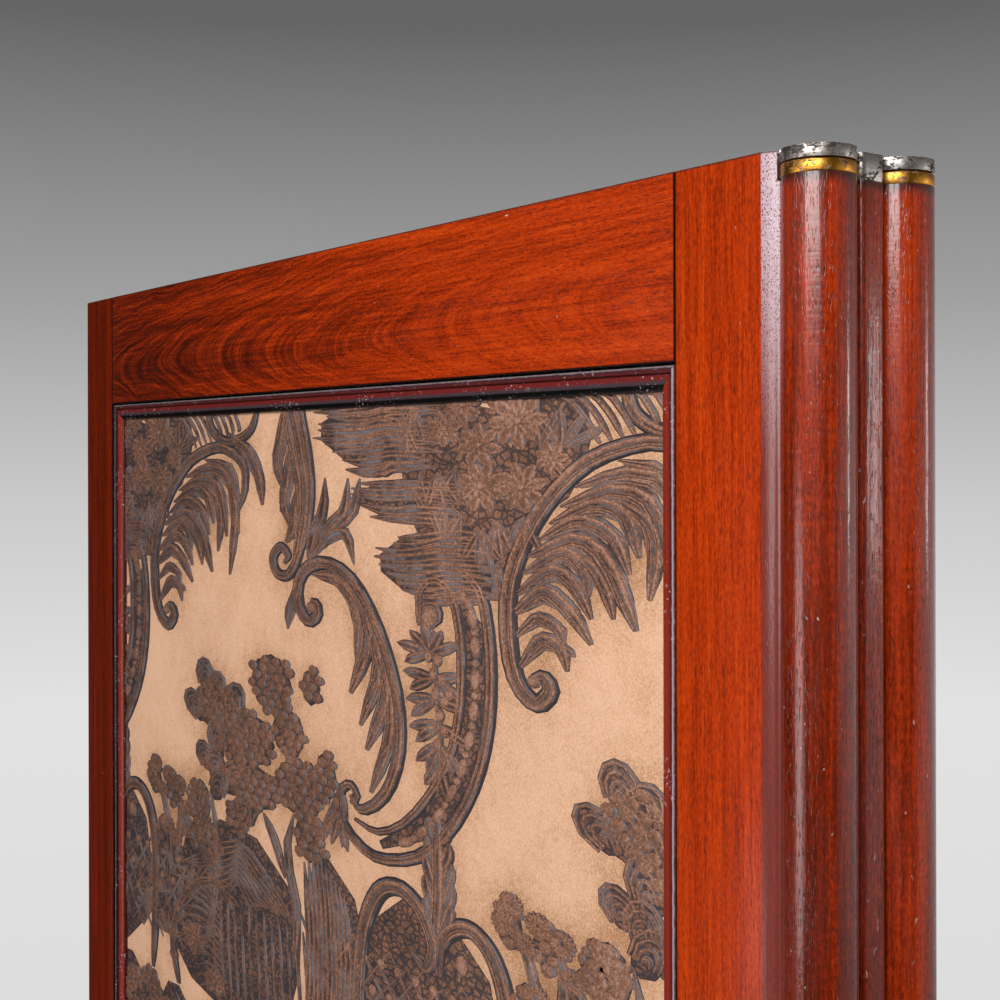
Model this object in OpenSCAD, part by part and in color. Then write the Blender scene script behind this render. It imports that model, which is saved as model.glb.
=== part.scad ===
// Folding screen of three framed canvas leaves, hung on double-action draught hinges.
// Z is up and the floor is z = 0. The leaves stand folded as a stack, leaf 1 in front, facing -Y.

/* [Leaf frame] */
// Height of a leaf from the floor to its top edge
leaf_h = 1750; // [900:10:2200]
// Width of a leaf across its two stiles
leaf_w = 565; // [360:5:800]
// Thickness of the stiles and rails
leaf_t = 23; // [19:0.5:29]
// Width of a stile
stile_w = 44; // [36:1:80]
// Height of the top rail
top_rail_h = 62; // [40:1:120]
// Height of the bottom rail
bottom_rail_h = 85; // [50:1:160]
// Length of stile that stands below the bottom rail
foot_h = 14; // [0:1:60]
// Width of the rounded arris, on the leaf's face
arris_w = 5.6; // [2:0.2:7]
// Depth of the rounded arris, on the leaf's edge
arris_d = 2.6; // [1:0.2:4]
// Radius of the arris, which is a shallow arc from the face to the edge
arris_r = 18; // [8:1:40]

/* [Mortise and tenon] */
// Thickness of a tenon
tenon_t = 8; // [5:0.5:10]
// Length of a tenon
tenon_l = 30; // [15:1:34]
// Shoulder above and below a tenon
tenon_shoulder = 10; // [4:1:18]
// Play round a tenon
tenon_gap = 0.2; // [0.1:0.05:0.4]

/* [Canvas panel] */
// Depth of the canvas below the leaf's face
panel_set = 4.8; // [3.6:0.2:5.6]
// Thickness of the embossed canvas
canvas_t = 1.2; // [0.6:0.1:2]
// Width of the strainer bars behind the canvas
strainer_w = 32; // [24:1:60]
// Number of cross bars between the ends of the strainer
cross_bars = 3; // [1:1:6]
// Play between the strainer and the frame round it
panel_gap = 0.3; // [0.2:0.1:0.8]

/* [Moulding] */
// Width of the moulding round the canvas
moulding_w = 9; // [8:0.5:16]
// Height of the moulding's sight edge above the canvas
moulding_lip = 1.2; // [1:0.1:1.8]
// Width of the round bead beside the frame
bead_w = 2.3; // [1.6:0.1:3]
// Width of the sunk lines on each side of the bead
quirk_w = 0.6; // [0.3:0.1:1]
// Drop of the moulding below the leaf's face
moulding_drop = 0.3; // [0:0.1:0.8]

/* [Tacks and pins] */
// Diameter of a tack's head
tack_head_d = 3.6; // [3:0.1:4]
// Length of a tack under its head
tack_l = 7; // [5:0.5:8]
// Greatest distance between two tacks
tack_pitch = 190; // [60:5:300]
// Diameter of a moulding pin
pin_d = 1.2; // [0.8:0.1:1.6]
// Length of a moulding pin
pin_l = 8; // [6:0.5:9]
// Greatest distance between two moulding pins
pin_pitch = 360; // [120:10:500]

/* [Hinge posts] */
// Diameter of a hinge post
post_d = 23; // [18:0.5:30]
// Depth planed off the post where it is glued to the stile
post_flat = 4.45; // [0.4:0.05:6]
// Diameter of the spigot at each end of a post
spigot_d = 14; // [11:0.5:16]
// Width of the wooden fillet between two posts
fillet_w = 11.2; // [6:0.2:14]
// Depth of the fillet across the line of the posts
fillet_d = 12; // [10:0.2:18]
// Radius of the fillet's long edges
fillet_round = 2.2; // [0.6:0.1:2.8]
// Running gap between a post and the fillet
post_gap = 1.25; // [0.4:0.05:2]
// Running gap round the brass in the scallop at a stile's end
scallop_gap = 0.8; // [0.3:0.1:1]

/* [Hinge brass] */
// Thickness of a bracket's arm
arm_t = 4; // [2.5:0.1:6]
// Height of the ferrule on a post's end
ferrule_h = 4; // [2.5:0.1:8]
// Thickness of the washer between the arm and the ferrule
washer_t = 0.4; // [0.2:0.1:1]
// Diameter of the washer
washer_d = 14; // [10:0.5:16]
// Width of the arms where they leave the middle block
neck_w = 7.4; // [6:0.2:8]
// Height of the lowest brass above the floor
brass_lift = 11; // [4:1:40]
// Diameter of a pivot screw
pivot_d = 4.2; // [3:0.1:5]
// Diameter of a pivot screw's head
pivot_head_d = 8.4; // [6:0.1:9]
// Length of a pivot screw
pivot_l = 38; // [20:1:60]
// Running gap round a pivot screw in the arm
pivot_gap = 0.08; // [0.04:0.01:0.1]
// Diameter of the screws that hold a bracket to the fillet
bracket_screw_d = 2.6; // [2:0.1:2.7]
// Distance between the two screws of a bracket
bracket_screw_pitch = 6; // [5.6:0.1:6.2]
// Length of a bracket screw
bracket_screw_l = 36; // [20:1:60]
// Play of a glued ring or a screw in its hole
fit_gap = 0.05; // [0.02:0.01:0.15]

/* [Folded pose] */
// Height of the second fillet's edge above the foot of leaf 3's arris
fold_gap = 1.03; // [0.9:0.01:4]

/* [Hidden] */
$fn = 64;
eps = 0.01;

// Frame: the opening between the stiles and rails
open_w = leaf_w - 2 * stile_w;
open_low = foot_h + bottom_rail_h;
open_high = leaf_h - top_rail_h;
open_h = open_high - open_low;
open_mid = (open_low + open_high) / 2;

// Arris: a circle through its line on the face and its line on the edge, and how far its centre lies from both
arris_chord = sqrt(arris_w * arris_w + arris_d * arris_d);
arris_in = sqrt(arris_r * arris_r - arris_chord * arris_chord / 4);
arris_x = arris_w / 2 + arris_in * arris_d / arris_chord;
arris_y = arris_d / 2 + arris_in * arris_w / arris_chord;

// Panel: the strainer fills what two canvases leave of the thickness
panel_w = open_w - 2 * panel_gap;
panel_h = open_h - 2 * panel_gap;
canvas_out = leaf_t / 2 - panel_set;
strainer_t = 2 * (canvas_out - canvas_t);
bar_gap = 0.1;
bar_l = panel_w - 2 * (strainer_w + bar_gap);
bar_step = (panel_h - strainer_w) / (cross_bars + 1);

// Moulding: a sunk line, a round bead, a second sunk line, then an ovolo down to the sight edge
moulding_top = panel_set - moulding_drop;
bead_r = bead_w / 2;
quirk_h = moulding_top - bead_w;
ovolo_in = bead_w + 2 * quirk_w;
ovolo_w = moulding_w - ovolo_in;
ovolo_top = moulding_top - bead_r;
channel_low = 0.6;
channel_high = channel_low + tack_head_d + 0.6;
channel_h = 0.9;
tack_in = (channel_low + channel_high) / 2;
tack_head_t = 0.6;
tack_d = 1.4;
pin_in = (channel_high + moulding_w) / 2 + 0.2;
pin_sink = 0.4;
end_clear = 20;
nail_stagger = 4;

// Hinge: a post stands off the leaf's edge by its planed radius and the glue line
post_r = post_d / 2;
post_off = leaf_w / 2 + post_r - post_flat + fit_gap;
pitch = post_d + fillet_w + 2 * post_gap;
washer_play = 0.05;
brass_h = arm_t + washer_t + washer_play + ferrule_h;
post_low = brass_lift + brass_h;
post_high = leaf_h - brass_h;
scallop_r = post_r + scallop_gap;
screw_head_h = 2.2;

// Folded pose: the second link turns until its fillet's edge stands over leaf 3's arris.
// Then come each leaf's centre and the direction of each link.
fillet_off = post_r + post_gap;
fillet_arm = sqrt(fillet_off * fillet_off + fillet_d * fillet_d / 4);
link_2_turn = atan2(2 * fillet_off, fillet_d) - asin((leaf_t / 2 - arris_d + fold_gap) / fillet_arm);
fold_x = pitch * sin(link_2_turn);
fold_y = pitch * cos(link_2_turn);
centre = [fold_x / 2, -(pitch + fold_y) / 2];
leaf_at = [centre, centre + [0, pitch], centre + [-fold_x, pitch + fold_y]];
post_a = leaf_at[0] + [post_off, 0];
post_b = leaf_at[1] + [post_off, 0];
post_c = leaf_at[1] - [post_off, 0];
post_e = leaf_at[2] - [post_off, 0];
link_at = [(post_a + post_b) / 2, (post_c + post_e) / 2];
link_turn = [0, link_2_turn];

mahogany = [0.55, 0.18, 0.09];
mahogany_dark = [0.42, 0.13, 0.08];
mahogany_bright = [0.66, 0.24, 0.10];
pine = [0.80, 0.66, 0.45];
gilt_canvas = [0.62, 0.45, 0.31];
brass = [0.78, 0.62, 0.30];
iron = [0.25, 0.24, 0.23];

// Points of an arc in order
function arc(c, r, a0, a1, n) = [for (k = [0:n]) let (a = a0 + (a1 - a0) * k / n) c + r * [cos(a), sin(a)]];

// Nail places along a run, at most step apart, set off a little so that front and back miss each other
function places(run, step) = let (len = run - 2 * end_clear, n = ceil(len / step))
  [for (k = [0:n - 1]) (k + 0.5) * len / n - len / 2 + nail_stagger];

module on_leaf(i) translate([leaf_at[i - 1].x, leaf_at[i - 1].y, 0]) children();

// The panel's own plane: X across, Y up, Z out of the leaf, from the canvas face
module on_face(side) translate([0, 0, open_mid]) rotate([90, 0, side > 0 ? 180 : 0]) children();

// The four runs round the panel: 0 and 2 lie across, 1 and 3 upright
module on_run(s) rotate(90 * s) translate([0, -(s % 2 == 0 ? open_h : open_w) / 2 + panel_gap, 0]) children();

function run_length(s) = s % 2 == 0 ? panel_w : panel_h;

// Section of a stile: plain inside, with a rounded arris on both corners of its outer edge
module stile_section() difference() {
  translate([-stile_w / 2, -leaf_t / 2]) square([stile_w, leaf_t]);
  for (s = [-1, 1]) difference() {
    translate([stile_w / 2 - arris_w - 1, s > 0 ? leaf_t / 2 - arris_d - 1 : -leaf_t / 2 - 1])
      square([arris_w + 2, arris_d + 2]);
    translate([stile_w / 2 - arris_x, s * (leaf_t / 2 - arris_y)]) circle(arris_r);
  }
}

module mortise(low, high)
  translate([-stile_w / 2 - 1, -tenon_t / 2 - tenon_gap, low + tenon_shoulder - tenon_gap])
    cube([tenon_l + tenon_gap + 1, tenon_t + 2 * tenon_gap, high - low - 2 * (tenon_shoulder - tenon_gap)]);

// A stile with its outer edge towards +X, and a scallop at each end where a hinge's brass turns
module stile(hinged) difference() {
  linear_extrude(leaf_h) stile_section();
  mortise(open_high, leaf_h);
  mortise(foot_h, open_low);
  if (hinged) translate([post_off - (leaf_w - stile_w) / 2, 0, 0]) {
    translate([0, 0, -1]) cylinder(r = scallop_r, h = post_low + scallop_gap + 1);
    translate([0, 0, post_high - scallop_gap]) cylinder(r = scallop_r, h = brass_h + scallop_gap + 1);
  }
}

module right_stile(i) color(mahogany_bright) on_leaf(i)
  translate([(leaf_w - stile_w) / 2, 0, 0]) stile(i < 3);

module left_stile(i) color(mahogany) on_leaf(i)
  translate([-(leaf_w - stile_w) / 2, 0, 0]) mirror([1, 0, 0]) stile(i > 1);

module rail(low, high) {
  translate([-open_w / 2, -leaf_t / 2, low]) cube([open_w, leaf_t, high - low]);
  translate([-open_w / 2 - tenon_l, -tenon_t / 2, low + tenon_shoulder])
    cube([open_w + 2 * tenon_l, tenon_t, high - low - 2 * tenon_shoulder]);
}

module top_rail(i) color(mahogany_bright) on_leaf(i) rail(open_high, leaf_h);

module bottom_rail(i) color(mahogany) on_leaf(i) rail(foot_h, open_low);

// One hole for each tack and moulding pin, through what they are driven into
module nail_holes(low, high) for (s = [0:3]) on_run(s) {
  for (x = places(run_length(s), tack_pitch))
    translate([x, tack_in, low]) cylinder(d = tack_d + 2 * fit_gap, h = high - low);
  for (x = places(run_length(s), pin_pitch))
    translate([x, pin_in, low]) cylinder(d = pin_d + 2 * fit_gap, h = high - low);
}

// Softwood frame behind the canvas: two uprights, two ends and the cross bars
module strainer(i) color(pine) on_leaf(i) difference() {
  translate([0, -strainer_t / 2, open_mid]) rotate([-90, 0, 0]) {
    for (s = [-1, 1]) translate([s * (panel_w - strainer_w) / 2 - strainer_w / 2, -panel_h / 2, 0])
      cube([strainer_w, panel_h, strainer_t]);
    for (k = [0:cross_bars + 1]) translate([-bar_l / 2, k * bar_step - panel_h / 2, 0])
      cube([bar_l, strainer_w, strainer_t]);
  }
  for (side = [-1, 1]) on_face(side) nail_holes(strainer_t / 2 - tack_l, strainer_t / 2 + 1);
}

module canvas(side) on_face(side) difference() {
  translate([-panel_w / 2, -panel_h / 2, canvas_out - canvas_t]) cube([panel_w, panel_h, canvas_t]);
  nail_holes(canvas_out - canvas_t - 1, canvas_out + 1);
}

module front_canvas(i) color(gilt_canvas) on_leaf(i) canvas(-1);

module back_canvas(i) color(gilt_canvas) on_leaf(i) canvas(1);

module canvas_tacks(i) color(iron) on_leaf(i) for (side = [-1, 1]) on_face(side) for (s = [0:3]) on_run(s)
  for (x = places(run_length(s), tack_pitch)) translate([x, tack_in, 0]) {
    translate([0, 0, canvas_out]) cylinder(d = tack_head_d, h = tack_head_t);
    translate([0, 0, canvas_out - tack_l]) cylinder(d = tack_d, h = tack_l + eps);
  }

// Section of the moulding: x runs in from the frame, y out from the canvas
function moulding_section() = concat(
  [[0, 0], [0, quirk_h], [quirk_w, quirk_h]],
  arc([quirk_w + bead_r, moulding_top - bead_r], bead_r, 180, 0, 8),
  [[quirk_w + bead_w, quirk_h], [ovolo_in, quirk_h]],
  [for (a = [0:10:90]) [ovolo_in + ovolo_w * sin(a), moulding_lip + (ovolo_top - moulding_lip) * cos(a)]],
  [[moulding_w, 0], [channel_high, 0], [channel_high, channel_h], [channel_low, channel_h], [channel_low, 0]]
);

// A mitred strip of moulding, its back edge on the X axis
module moulding_strip(run) difference() {
  intersection() {
    translate([-run / 2, 0, 0]) rotate([90, 0, 90]) linear_extrude(run) polygon(moulding_section());
    linear_extrude(panel_set) polygon([
      [-run / 2 + bar_gap / 2, 0], [run / 2 - bar_gap / 2, 0],
      [run / 2 - moulding_w - bar_gap / 2, moulding_w], [-run / 2 + moulding_w + bar_gap / 2, moulding_w]
    ]);
  }
  for (x = places(run, pin_pitch)) translate([x, pin_in, -1])
    cylinder(d = pin_d + 2 * fit_gap, h = panel_set + 2);
}

module moulding(side) on_face(side) translate([0, 0, canvas_out])
  for (s = [0:3]) on_run(s) moulding_strip(run_length(s));

module front_moulding(i) color(mahogany_dark) on_leaf(i) moulding(-1);

module back_moulding(i) color(mahogany_dark) on_leaf(i) moulding(1);

module moulding_pins(i) color(iron) on_leaf(i) for (side = [-1, 1]) on_face(side) for (s = [0:3]) on_run(s)
  for (x = places(run_length(s), pin_pitch))
    translate([x, pin_in, canvas_out + moulding_lip - pin_sink - pin_l]) cylinder(d = pin_d, h = pin_l);

// A hinge post in its own frame: the axis is X = Y = 0. The flat planed on its length faces the leaf at -X.
module post() difference() {
  union() {
    translate([0, 0, post_low]) cylinder(r = post_r, h = post_high - post_low);
    translate([0, 0, post_low - ferrule_h]) cylinder(d = spigot_d, h = post_high - post_low + 2 * ferrule_h);
  }
  translate([-post_r - post_flat, -post_r, post_low]) cube([2 * post_flat, post_d, post_high - post_low]);
  for (z = [post_low - ferrule_h - 1, post_high + ferrule_h - pivot_l])
    translate([0, 0, z]) cylinder(d = pivot_d + 2 * fit_gap, h = pivot_l + 1);
}

// A turned brass ring on each end of a post
module ferrules() for (z = [post_low - ferrule_h, post_high]) translate([0, 0, z]) difference() {
  cylinder(r = post_r, h = ferrule_h);
  translate([0, 0, -1]) cylinder(d = spigot_d + 2 * fit_gap, h = ferrule_h + 2);
}

module countersunk(d, head_d, len) {
  translate([0, 0, -len]) cylinder(d = d, h = len);
  translate([0, 0, -screw_head_h]) cylinder(d1 = d, d2 = head_d, h = screw_head_h);
}

// Both ends of a hinge, with the outer face of the brass at z = 0 and the post below it
module both_ends() {
  translate([0, 0, leaf_h]) children();
  translate([0, 0, brass_lift]) mirror([0, 0, 1]) children();
}

module pivot_screws() both_ends() countersunk(pivot_d, pivot_head_d, pivot_l);

module at(p) translate([p.x, p.y, 0]) children();

module right_post(i) color(mahogany) at(i == 1 ? post_a : post_b) post();

module left_post(i) color(mahogany) at(i == 2 ? post_c : post_e) mirror([1, 0, 0]) post();

module right_ferrules(i) color(brass) at(i == 1 ? post_a : post_b) ferrules();

module left_ferrules(i) color(brass) at(i == 2 ? post_c : post_e) ferrules();

module right_pivot_screws(i) color(brass) at(i == 1 ? post_a : post_b) pivot_screws();

module left_pivot_screws(i) color(brass) at(i == 2 ? post_c : post_e) pivot_screws();

// A link in its own frame: the posts stand at Y = -pitch / 2 and Y = +pitch / 2
module on_link(k) translate([link_at[k - 1].x, link_at[k - 1].y, 0]) rotate(link_turn[k - 1]) children();

module fillet_section() {
  square([fillet_d, fillet_w - 2 * fillet_round], center = true);
  square([fillet_d - 2 * fillet_round, fillet_w], center = true);
  for (x = [-1, 1], y = [-1, 1])
    translate([x * (fillet_d / 2 - fillet_round), y * (fillet_w / 2 - fillet_round)]) circle(fillet_round);
}

module bracket_screw_places() for (x = [-1, 1]) translate([x * bracket_screw_pitch / 2, 0, 0]) children();

module fillet(k) color(mahogany) on_link(k) difference() {
  translate([0, 0, post_low]) linear_extrude(post_high - post_low) fillet_section();
  both_ends() bracket_screw_places() translate([0, 0, -bracket_screw_l])
    cylinder(d = bracket_screw_d + 2 * fit_gap, h = bracket_screw_l);
}

// A bracket with its outer face at z = 0: the block is as deep as both layers of brass,
// and a round-ended arm lies over the ferrule of each post
module bracket() difference() {
  union() {
    translate([0, 0, -brass_h]) linear_extrude(brass_h) fillet_section();
    translate([0, 0, -arm_t]) linear_extrude(arm_t) {
      square([neck_w, pitch], center = true);
      for (y = [-1, 1]) translate([0, y * pitch / 2]) circle(post_r);
    }
  }
  for (y = [-1, 1]) translate([0, y * pitch / 2, 0]) {
    translate([0, 0, -arm_t - 1]) cylinder(d = pivot_d + 2 * pivot_gap, h = arm_t + 2);
    translate([0, 0, -screw_head_h])
      cylinder(d1 = pivot_d + 4 * pivot_gap, d2 = pivot_head_d + 4 * pivot_gap, h = screw_head_h + eps);
  }
  bracket_screw_places() {
    translate([0, 0, -brass_h - 1]) cylinder(d = bracket_screw_d + 2 * fit_gap, h = brass_h + 2);
    translate([0, 0, -screw_head_h]) cylinder(
      d1 = bracket_screw_d + 4 * fit_gap, d2 = 2 * bracket_screw_d + 4 * fit_gap, h = screw_head_h + eps);
  }
}

module top_bracket(k) color(brass) on_link(k) translate([0, 0, leaf_h]) bracket();

module bottom_bracket(k) color(brass) on_link(k) translate([0, 0, brass_lift]) mirror([0, 0, 1]) bracket();

module bracket_screws(k) color(brass) on_link(k)
  both_ends() bracket_screw_places() countersunk(bracket_screw_d, 2 * bracket_screw_d, bracket_screw_l);

module washers(k) color(brass) on_link(k) both_ends() for (y = [-1, 1])
  translate([0, y * pitch / 2, -arm_t - washer_t]) difference() {
    cylinder(d = washer_d, h = washer_t);
    translate([0, 0, -1]) cylinder(d = pivot_d + 2 * pivot_gap, h = washer_t + 2);
  }

for (i = [1:3]) {
  left_stile(i);
  right_stile(i);
  top_rail(i);
  bottom_rail(i);
  strainer(i);
  front_canvas(i);
  back_canvas(i);
  canvas_tacks(i);
  front_moulding(i);
  back_moulding(i);
  moulding_pins(i);
}
for (i = [1:2]) {
  right_post(i);
  right_ferrules(i);
  right_pivot_screws(i);
}
for (i = [2:3]) {
  left_post(i);
  left_ferrules(i);
  left_pivot_screws(i);
}
for (k = [1:2]) {
  fillet(k);
  top_bracket(k);
  bottom_bracket(k);
  bracket_screws(k);
  washers(k);
}
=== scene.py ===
import math

import bpy
import numpy as np
from mathutils import Matrix, Vector


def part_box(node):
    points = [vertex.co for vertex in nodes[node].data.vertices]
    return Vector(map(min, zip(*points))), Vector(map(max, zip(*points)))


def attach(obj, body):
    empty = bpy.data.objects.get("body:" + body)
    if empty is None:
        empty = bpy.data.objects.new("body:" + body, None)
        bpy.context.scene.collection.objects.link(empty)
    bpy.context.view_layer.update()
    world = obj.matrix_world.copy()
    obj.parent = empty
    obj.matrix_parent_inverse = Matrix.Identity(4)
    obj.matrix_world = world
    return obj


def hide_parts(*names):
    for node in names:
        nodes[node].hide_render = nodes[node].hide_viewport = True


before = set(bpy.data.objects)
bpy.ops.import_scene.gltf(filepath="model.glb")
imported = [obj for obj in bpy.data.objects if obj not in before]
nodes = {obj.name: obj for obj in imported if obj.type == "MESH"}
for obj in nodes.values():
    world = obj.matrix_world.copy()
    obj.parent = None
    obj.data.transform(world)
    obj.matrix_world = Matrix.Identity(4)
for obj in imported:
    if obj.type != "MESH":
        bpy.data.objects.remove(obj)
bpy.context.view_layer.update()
scene = bpy.context.scene
scene.view_settings.view_transform = "Standard"
mm = 0.001
leafPlan = {}  # the middle of each leaf seen from above, in mm
for leaf in (1, 2, 3):
    low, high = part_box(f"leaf_{leaf}_top_rail")
    leafPlan[leaf] = ((low[0] + high[0]) / 2 / mm, (low[1] + high[1]) / 2 / mm)
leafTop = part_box("leaf_1_right_stile")[1][2]
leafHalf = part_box("leaf_1_right_stile")[1][0] - leafPlan[1][0] * mm
print("frame loaded:", len(nodes), "nodes")


# Small helpers for shader trees.

def fill(tree, node, inputs):
    # plain values go on the node's sockets, and other nodes' sockets are linked to it
    for key, value in inputs.items():
        if isinstance(value, bpy.types.NodeSocket):
            tree.links.new(value, node.inputs[key])
        else:
            node.inputs[key].default_value = value


def put(tree, kind, inputs=None, **settings):
    node = tree.nodes.new(kind)
    for name, value in settings.items():
        setattr(node, name, value)
    fill(tree, node, inputs or {})
    return node


def calc(tree, operation, a, b=0.0, c=0.0, clamp=False):
    return put(tree, "ShaderNodeMath", {0: a, 1: b, 2: c}, operation=operation, use_clamp=clamp).outputs[0]


def times(tree, a, b):
    return calc(tree, "MULTIPLY", a, b)


def summed(tree, start, *parts):
    # start + the sum of gain * (value - middle) over its parts, (value, gain) or (value, gain, middle)
    for value, gain, *middle in parts:
        if middle:
            value = calc(tree, "SUBTRACT", value, middle[0])
        start = calc(tree, "MULTIPLY_ADD", value, gain, start)
    return start


def between(tree, value, low, high, toLow=0.0, toHigh=1.0, shape="SMOOTHSTEP"):
    # value carried from low..high to toLow..toHigh, held at both ends
    return put(tree, "ShaderNodeMapRange", {
        "Value": value, "From Min": low, "From Max": high, "To Min": toLow, "To Max": toHigh},
        interpolation_type=shape, clamp=True).outputs[0]


def stretch(tree, vector, scale, shift=(0, 0, 0), turn=(0, 0, 0)):
    return put(tree, "ShaderNodeMapping", {
        "Vector": vector, "Location": shift, "Rotation": turn, "Scale": scale}).outputs[0]


def cloud(tree, vector, scale=1.0, detail=2.0, roughness=0.5, distortion=0.0):
    # noise with one scale, or with a scale for each axis
    if not isinstance(scale, float):
        vector, scale = stretch(tree, vector, scale), 1.0
    return put(tree, "ShaderNodeTexNoise", {
        "Vector": vector, "Scale": scale, "Detail": detail,
        "Roughness": roughness, "Distortion": distortion}).outputs[0]


def stops(tree, factor, colours):
    # colour ramp from a list of (place, (r, g, b))
    node = put(tree, "ShaderNodeValToRGB", {"Fac": factor})
    ends = node.color_ramp.elements
    while len(ends) < len(colours):
        ends.new(0.5)
    for end, (place, colour) in zip(ends, colours):
        end.position = place
        end.color = (*colour, 1)
    return node.outputs[0]


def mixed(tree, factor, first, second):
    pair = [(*colour, 1) if isinstance(colour, tuple) else colour for colour in (first, second)]
    return put(tree, "ShaderNodeMix", {0: factor, 6: pair[0], 7: pair[1]}, data_type="RGBA").outputs[2]


def tinted(tree, colour, mask, tint):
    # tint is how much of it is laid on where the mask is 1, and its colour
    return mixed(tree, times(tree, mask, tint[0]), colour, tint[1])


def bumped(tree, height, strength, distance):
    return put(tree, "ShaderNodeBump", {
        "Height": height, "Strength": strength, "Distance": distance}).outputs[0]


def objectPlace(tree):
    return put(tree, "ShaderNodeTexCoord").outputs["Object"]


def axesOf(tree, vector):
    return put(tree, "ShaderNodeSeparateXYZ", {0: vector}).outputs


def attribute(tree, name):
    return put(tree, "ShaderNodeAttribute", attribute_name=name).outputs["Fac"]


def newGroup(name, inputs, outputs):
    # a shader node group that takes a Vector and named numbers, and puts out named numbers
    tree = bpy.data.node_groups.new(name, "ShaderNodeTree")
    tree.interface.new_socket(name="Vector", in_out="INPUT", socket_type="NodeSocketVector")
    for label, value in inputs.items():
        socket = tree.interface.new_socket(name=label, in_out="INPUT", socket_type="NodeSocketFloat")
        socket.default_value = value
    for label in outputs:
        tree.interface.new_socket(name=label, in_out="OUTPUT", socket_type="NodeSocketFloat")
    return tree, tree.nodes.new("NodeGroupInput").outputs, tree.nodes.new("NodeGroupOutput")


def placeGroup(tree, group, inputs):
    return put(tree, "ShaderNodeGroup", inputs, node_tree=group).outputs


def newMaterial(name):
    material = bpy.data.materials.new(name)
    material.use_nodes = True
    tree = material.node_tree
    return material, tree, tree.nodes["Principled BSDF"]


def setShader(tree, shader, **values):
    fill(tree, shader, {key.replace("_", " "): value for key, value in values.items()})


# Camera.

cameraLook = {
    "corner": "leaf_1_right_stile",
    "away": (0.3156, -0.3345, -0.0921),
    "forward": (-0.8061, 0.5917, 0.0),
    "lens": 54.0,
    "sensor": 36.0,
    "clip": (0.02, 50.0),
    "shiftY": -0.0451,
    "roll": -0.132,
}


def addCamera(look):
    # its place is measured from the near top corner of the first leaf
    data = bpy.data.cameras.new("camera")
    data.lens = look["lens"]
    data.sensor_width = look["sensor"]
    data.shift_y = look["shiftY"]
    data.clip_start, data.clip_end = look["clip"]
    camera = bpy.data.objects.new("camera", data)
    scene.collection.objects.link(camera)
    forward = Vector(look["forward"]).normalized()
    level = forward.cross(Vector((0, 0, 1)))
    roll = math.radians(look["roll"])
    right = math.cos(roll) * level + math.sin(roll) * Vector((0, 0, 1))
    up = right.cross(forward)
    turn = Matrix((right, up, -forward)).transposed()
    low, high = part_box(look["corner"])
    place = Vector((high[0], low[1], high[2])) + Vector(look["away"])
    camera.matrix_world = Matrix.Translation(place) @ turn.to_4x4()
    scene.camera = camera


addCamera(cameraLook)
print("camera set")


# World, lamps and floor.

studio = {
    "backdrop": [(-0.33, 0.72), (-0.16, 0.76), (-0.03, 0.59), (0.10, 0.352), (0.275, 0.130), (0.6, 0.09)],
    "fill": (0.16, 0.155, 0.16),
    "darkSide": (-0.10, 0.40, 0.03, 1.0),
    "darkFloor": (-0.45, -0.02, 0.35, 1.0),
    "postPlace": (0.2947, -0.036),
    "key": {"way": (0.39, -0.92), "away": 1.3, "height": 2.22, "aim": (0.18, -0.05, 1.65),
            "size": (1.11, 0.68), "watts": 24.5},
    "strip": {"way": (0.636, 0.772), "away": 1.5, "height": 1.68, "aim": (0.298, -0.03, 1.6),
              "size": (0.035, 0.30), "watts": 1.1},
    "back": {"way": (-0.75, 0.66), "away": 3.0, "height": 2.4, "aim": (0, 0, 0.9),
             "size": (1.8, 1.8), "watts": 70.0},
    "front": {"way": (-0.35, -0.94), "away": 3.6, "height": 0.9, "aim": (0, 0, 0.7),
              "size": (1.6, 1.2), "watts": 22.0},
    "floor": {"radius": 2.5, "innermost": 0.02, "rings": 24, "sides": 96, "sunk": 0.0005,
              "fade": (0.6, 0.99), "colours": ((0.7252, 0.7203, 0.7154), (0.74, 0.735, 0.73)),
              "roughness": 0.85},
}


def addWorld(look):
    # camera, glossy and transmission rays see the grey backdrop, and all others the plain fill
    world = bpy.data.worlds.new("studio")
    scene.world = world
    world.use_nodes = True
    tree = world.node_tree
    tree.nodes.clear()
    axes = axesOf(tree, put(tree, "ShaderNodeTexCoord").outputs["Generated"])
    low, high = look["backdrop"][0][0], look["backdrop"][-1][0]
    height = between(tree, axes[2], low, high, shape="LINEAR")
    grey = stops(tree, height, [((z - low) / (high - low), (v, v, v)) for z, v in look["backdrop"]])
    rays = put(tree, "ShaderNodeLightPath").outputs
    # polished faces turned to the viewer's side or downwards see the dark part of the room
    side, below = (between(tree, axes[k], *look[key]) for k, key in ((1, "darkSide"), (2, "darkFloor")))
    glossy = times(tree, rays["Is Glossy Ray"], times(tree, side, below))
    seen = calc(tree, "MAXIMUM", rays["Is Camera Ray"], rays["Is Transmission Ray"])
    plain, backdrop, inGloss = (
        put(tree, "ShaderNodeBackground", {"Color": colour, "Strength": strength}).outputs[0]
        for colour, strength in (((*look["fill"], 1), 1.0), (grey, 1.0), (grey, glossy)))
    first = put(tree, "ShaderNodeMixShader", {0: rays["Is Glossy Ray"], 1: plain, 2: inGloss}).outputs[0]
    mix = put(tree, "ShaderNodeMixShader", {0: seen, 1: first, 2: backdrop}).outputs[0]
    put(tree, "ShaderNodeOutputWorld", {"Surface": mix})


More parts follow.
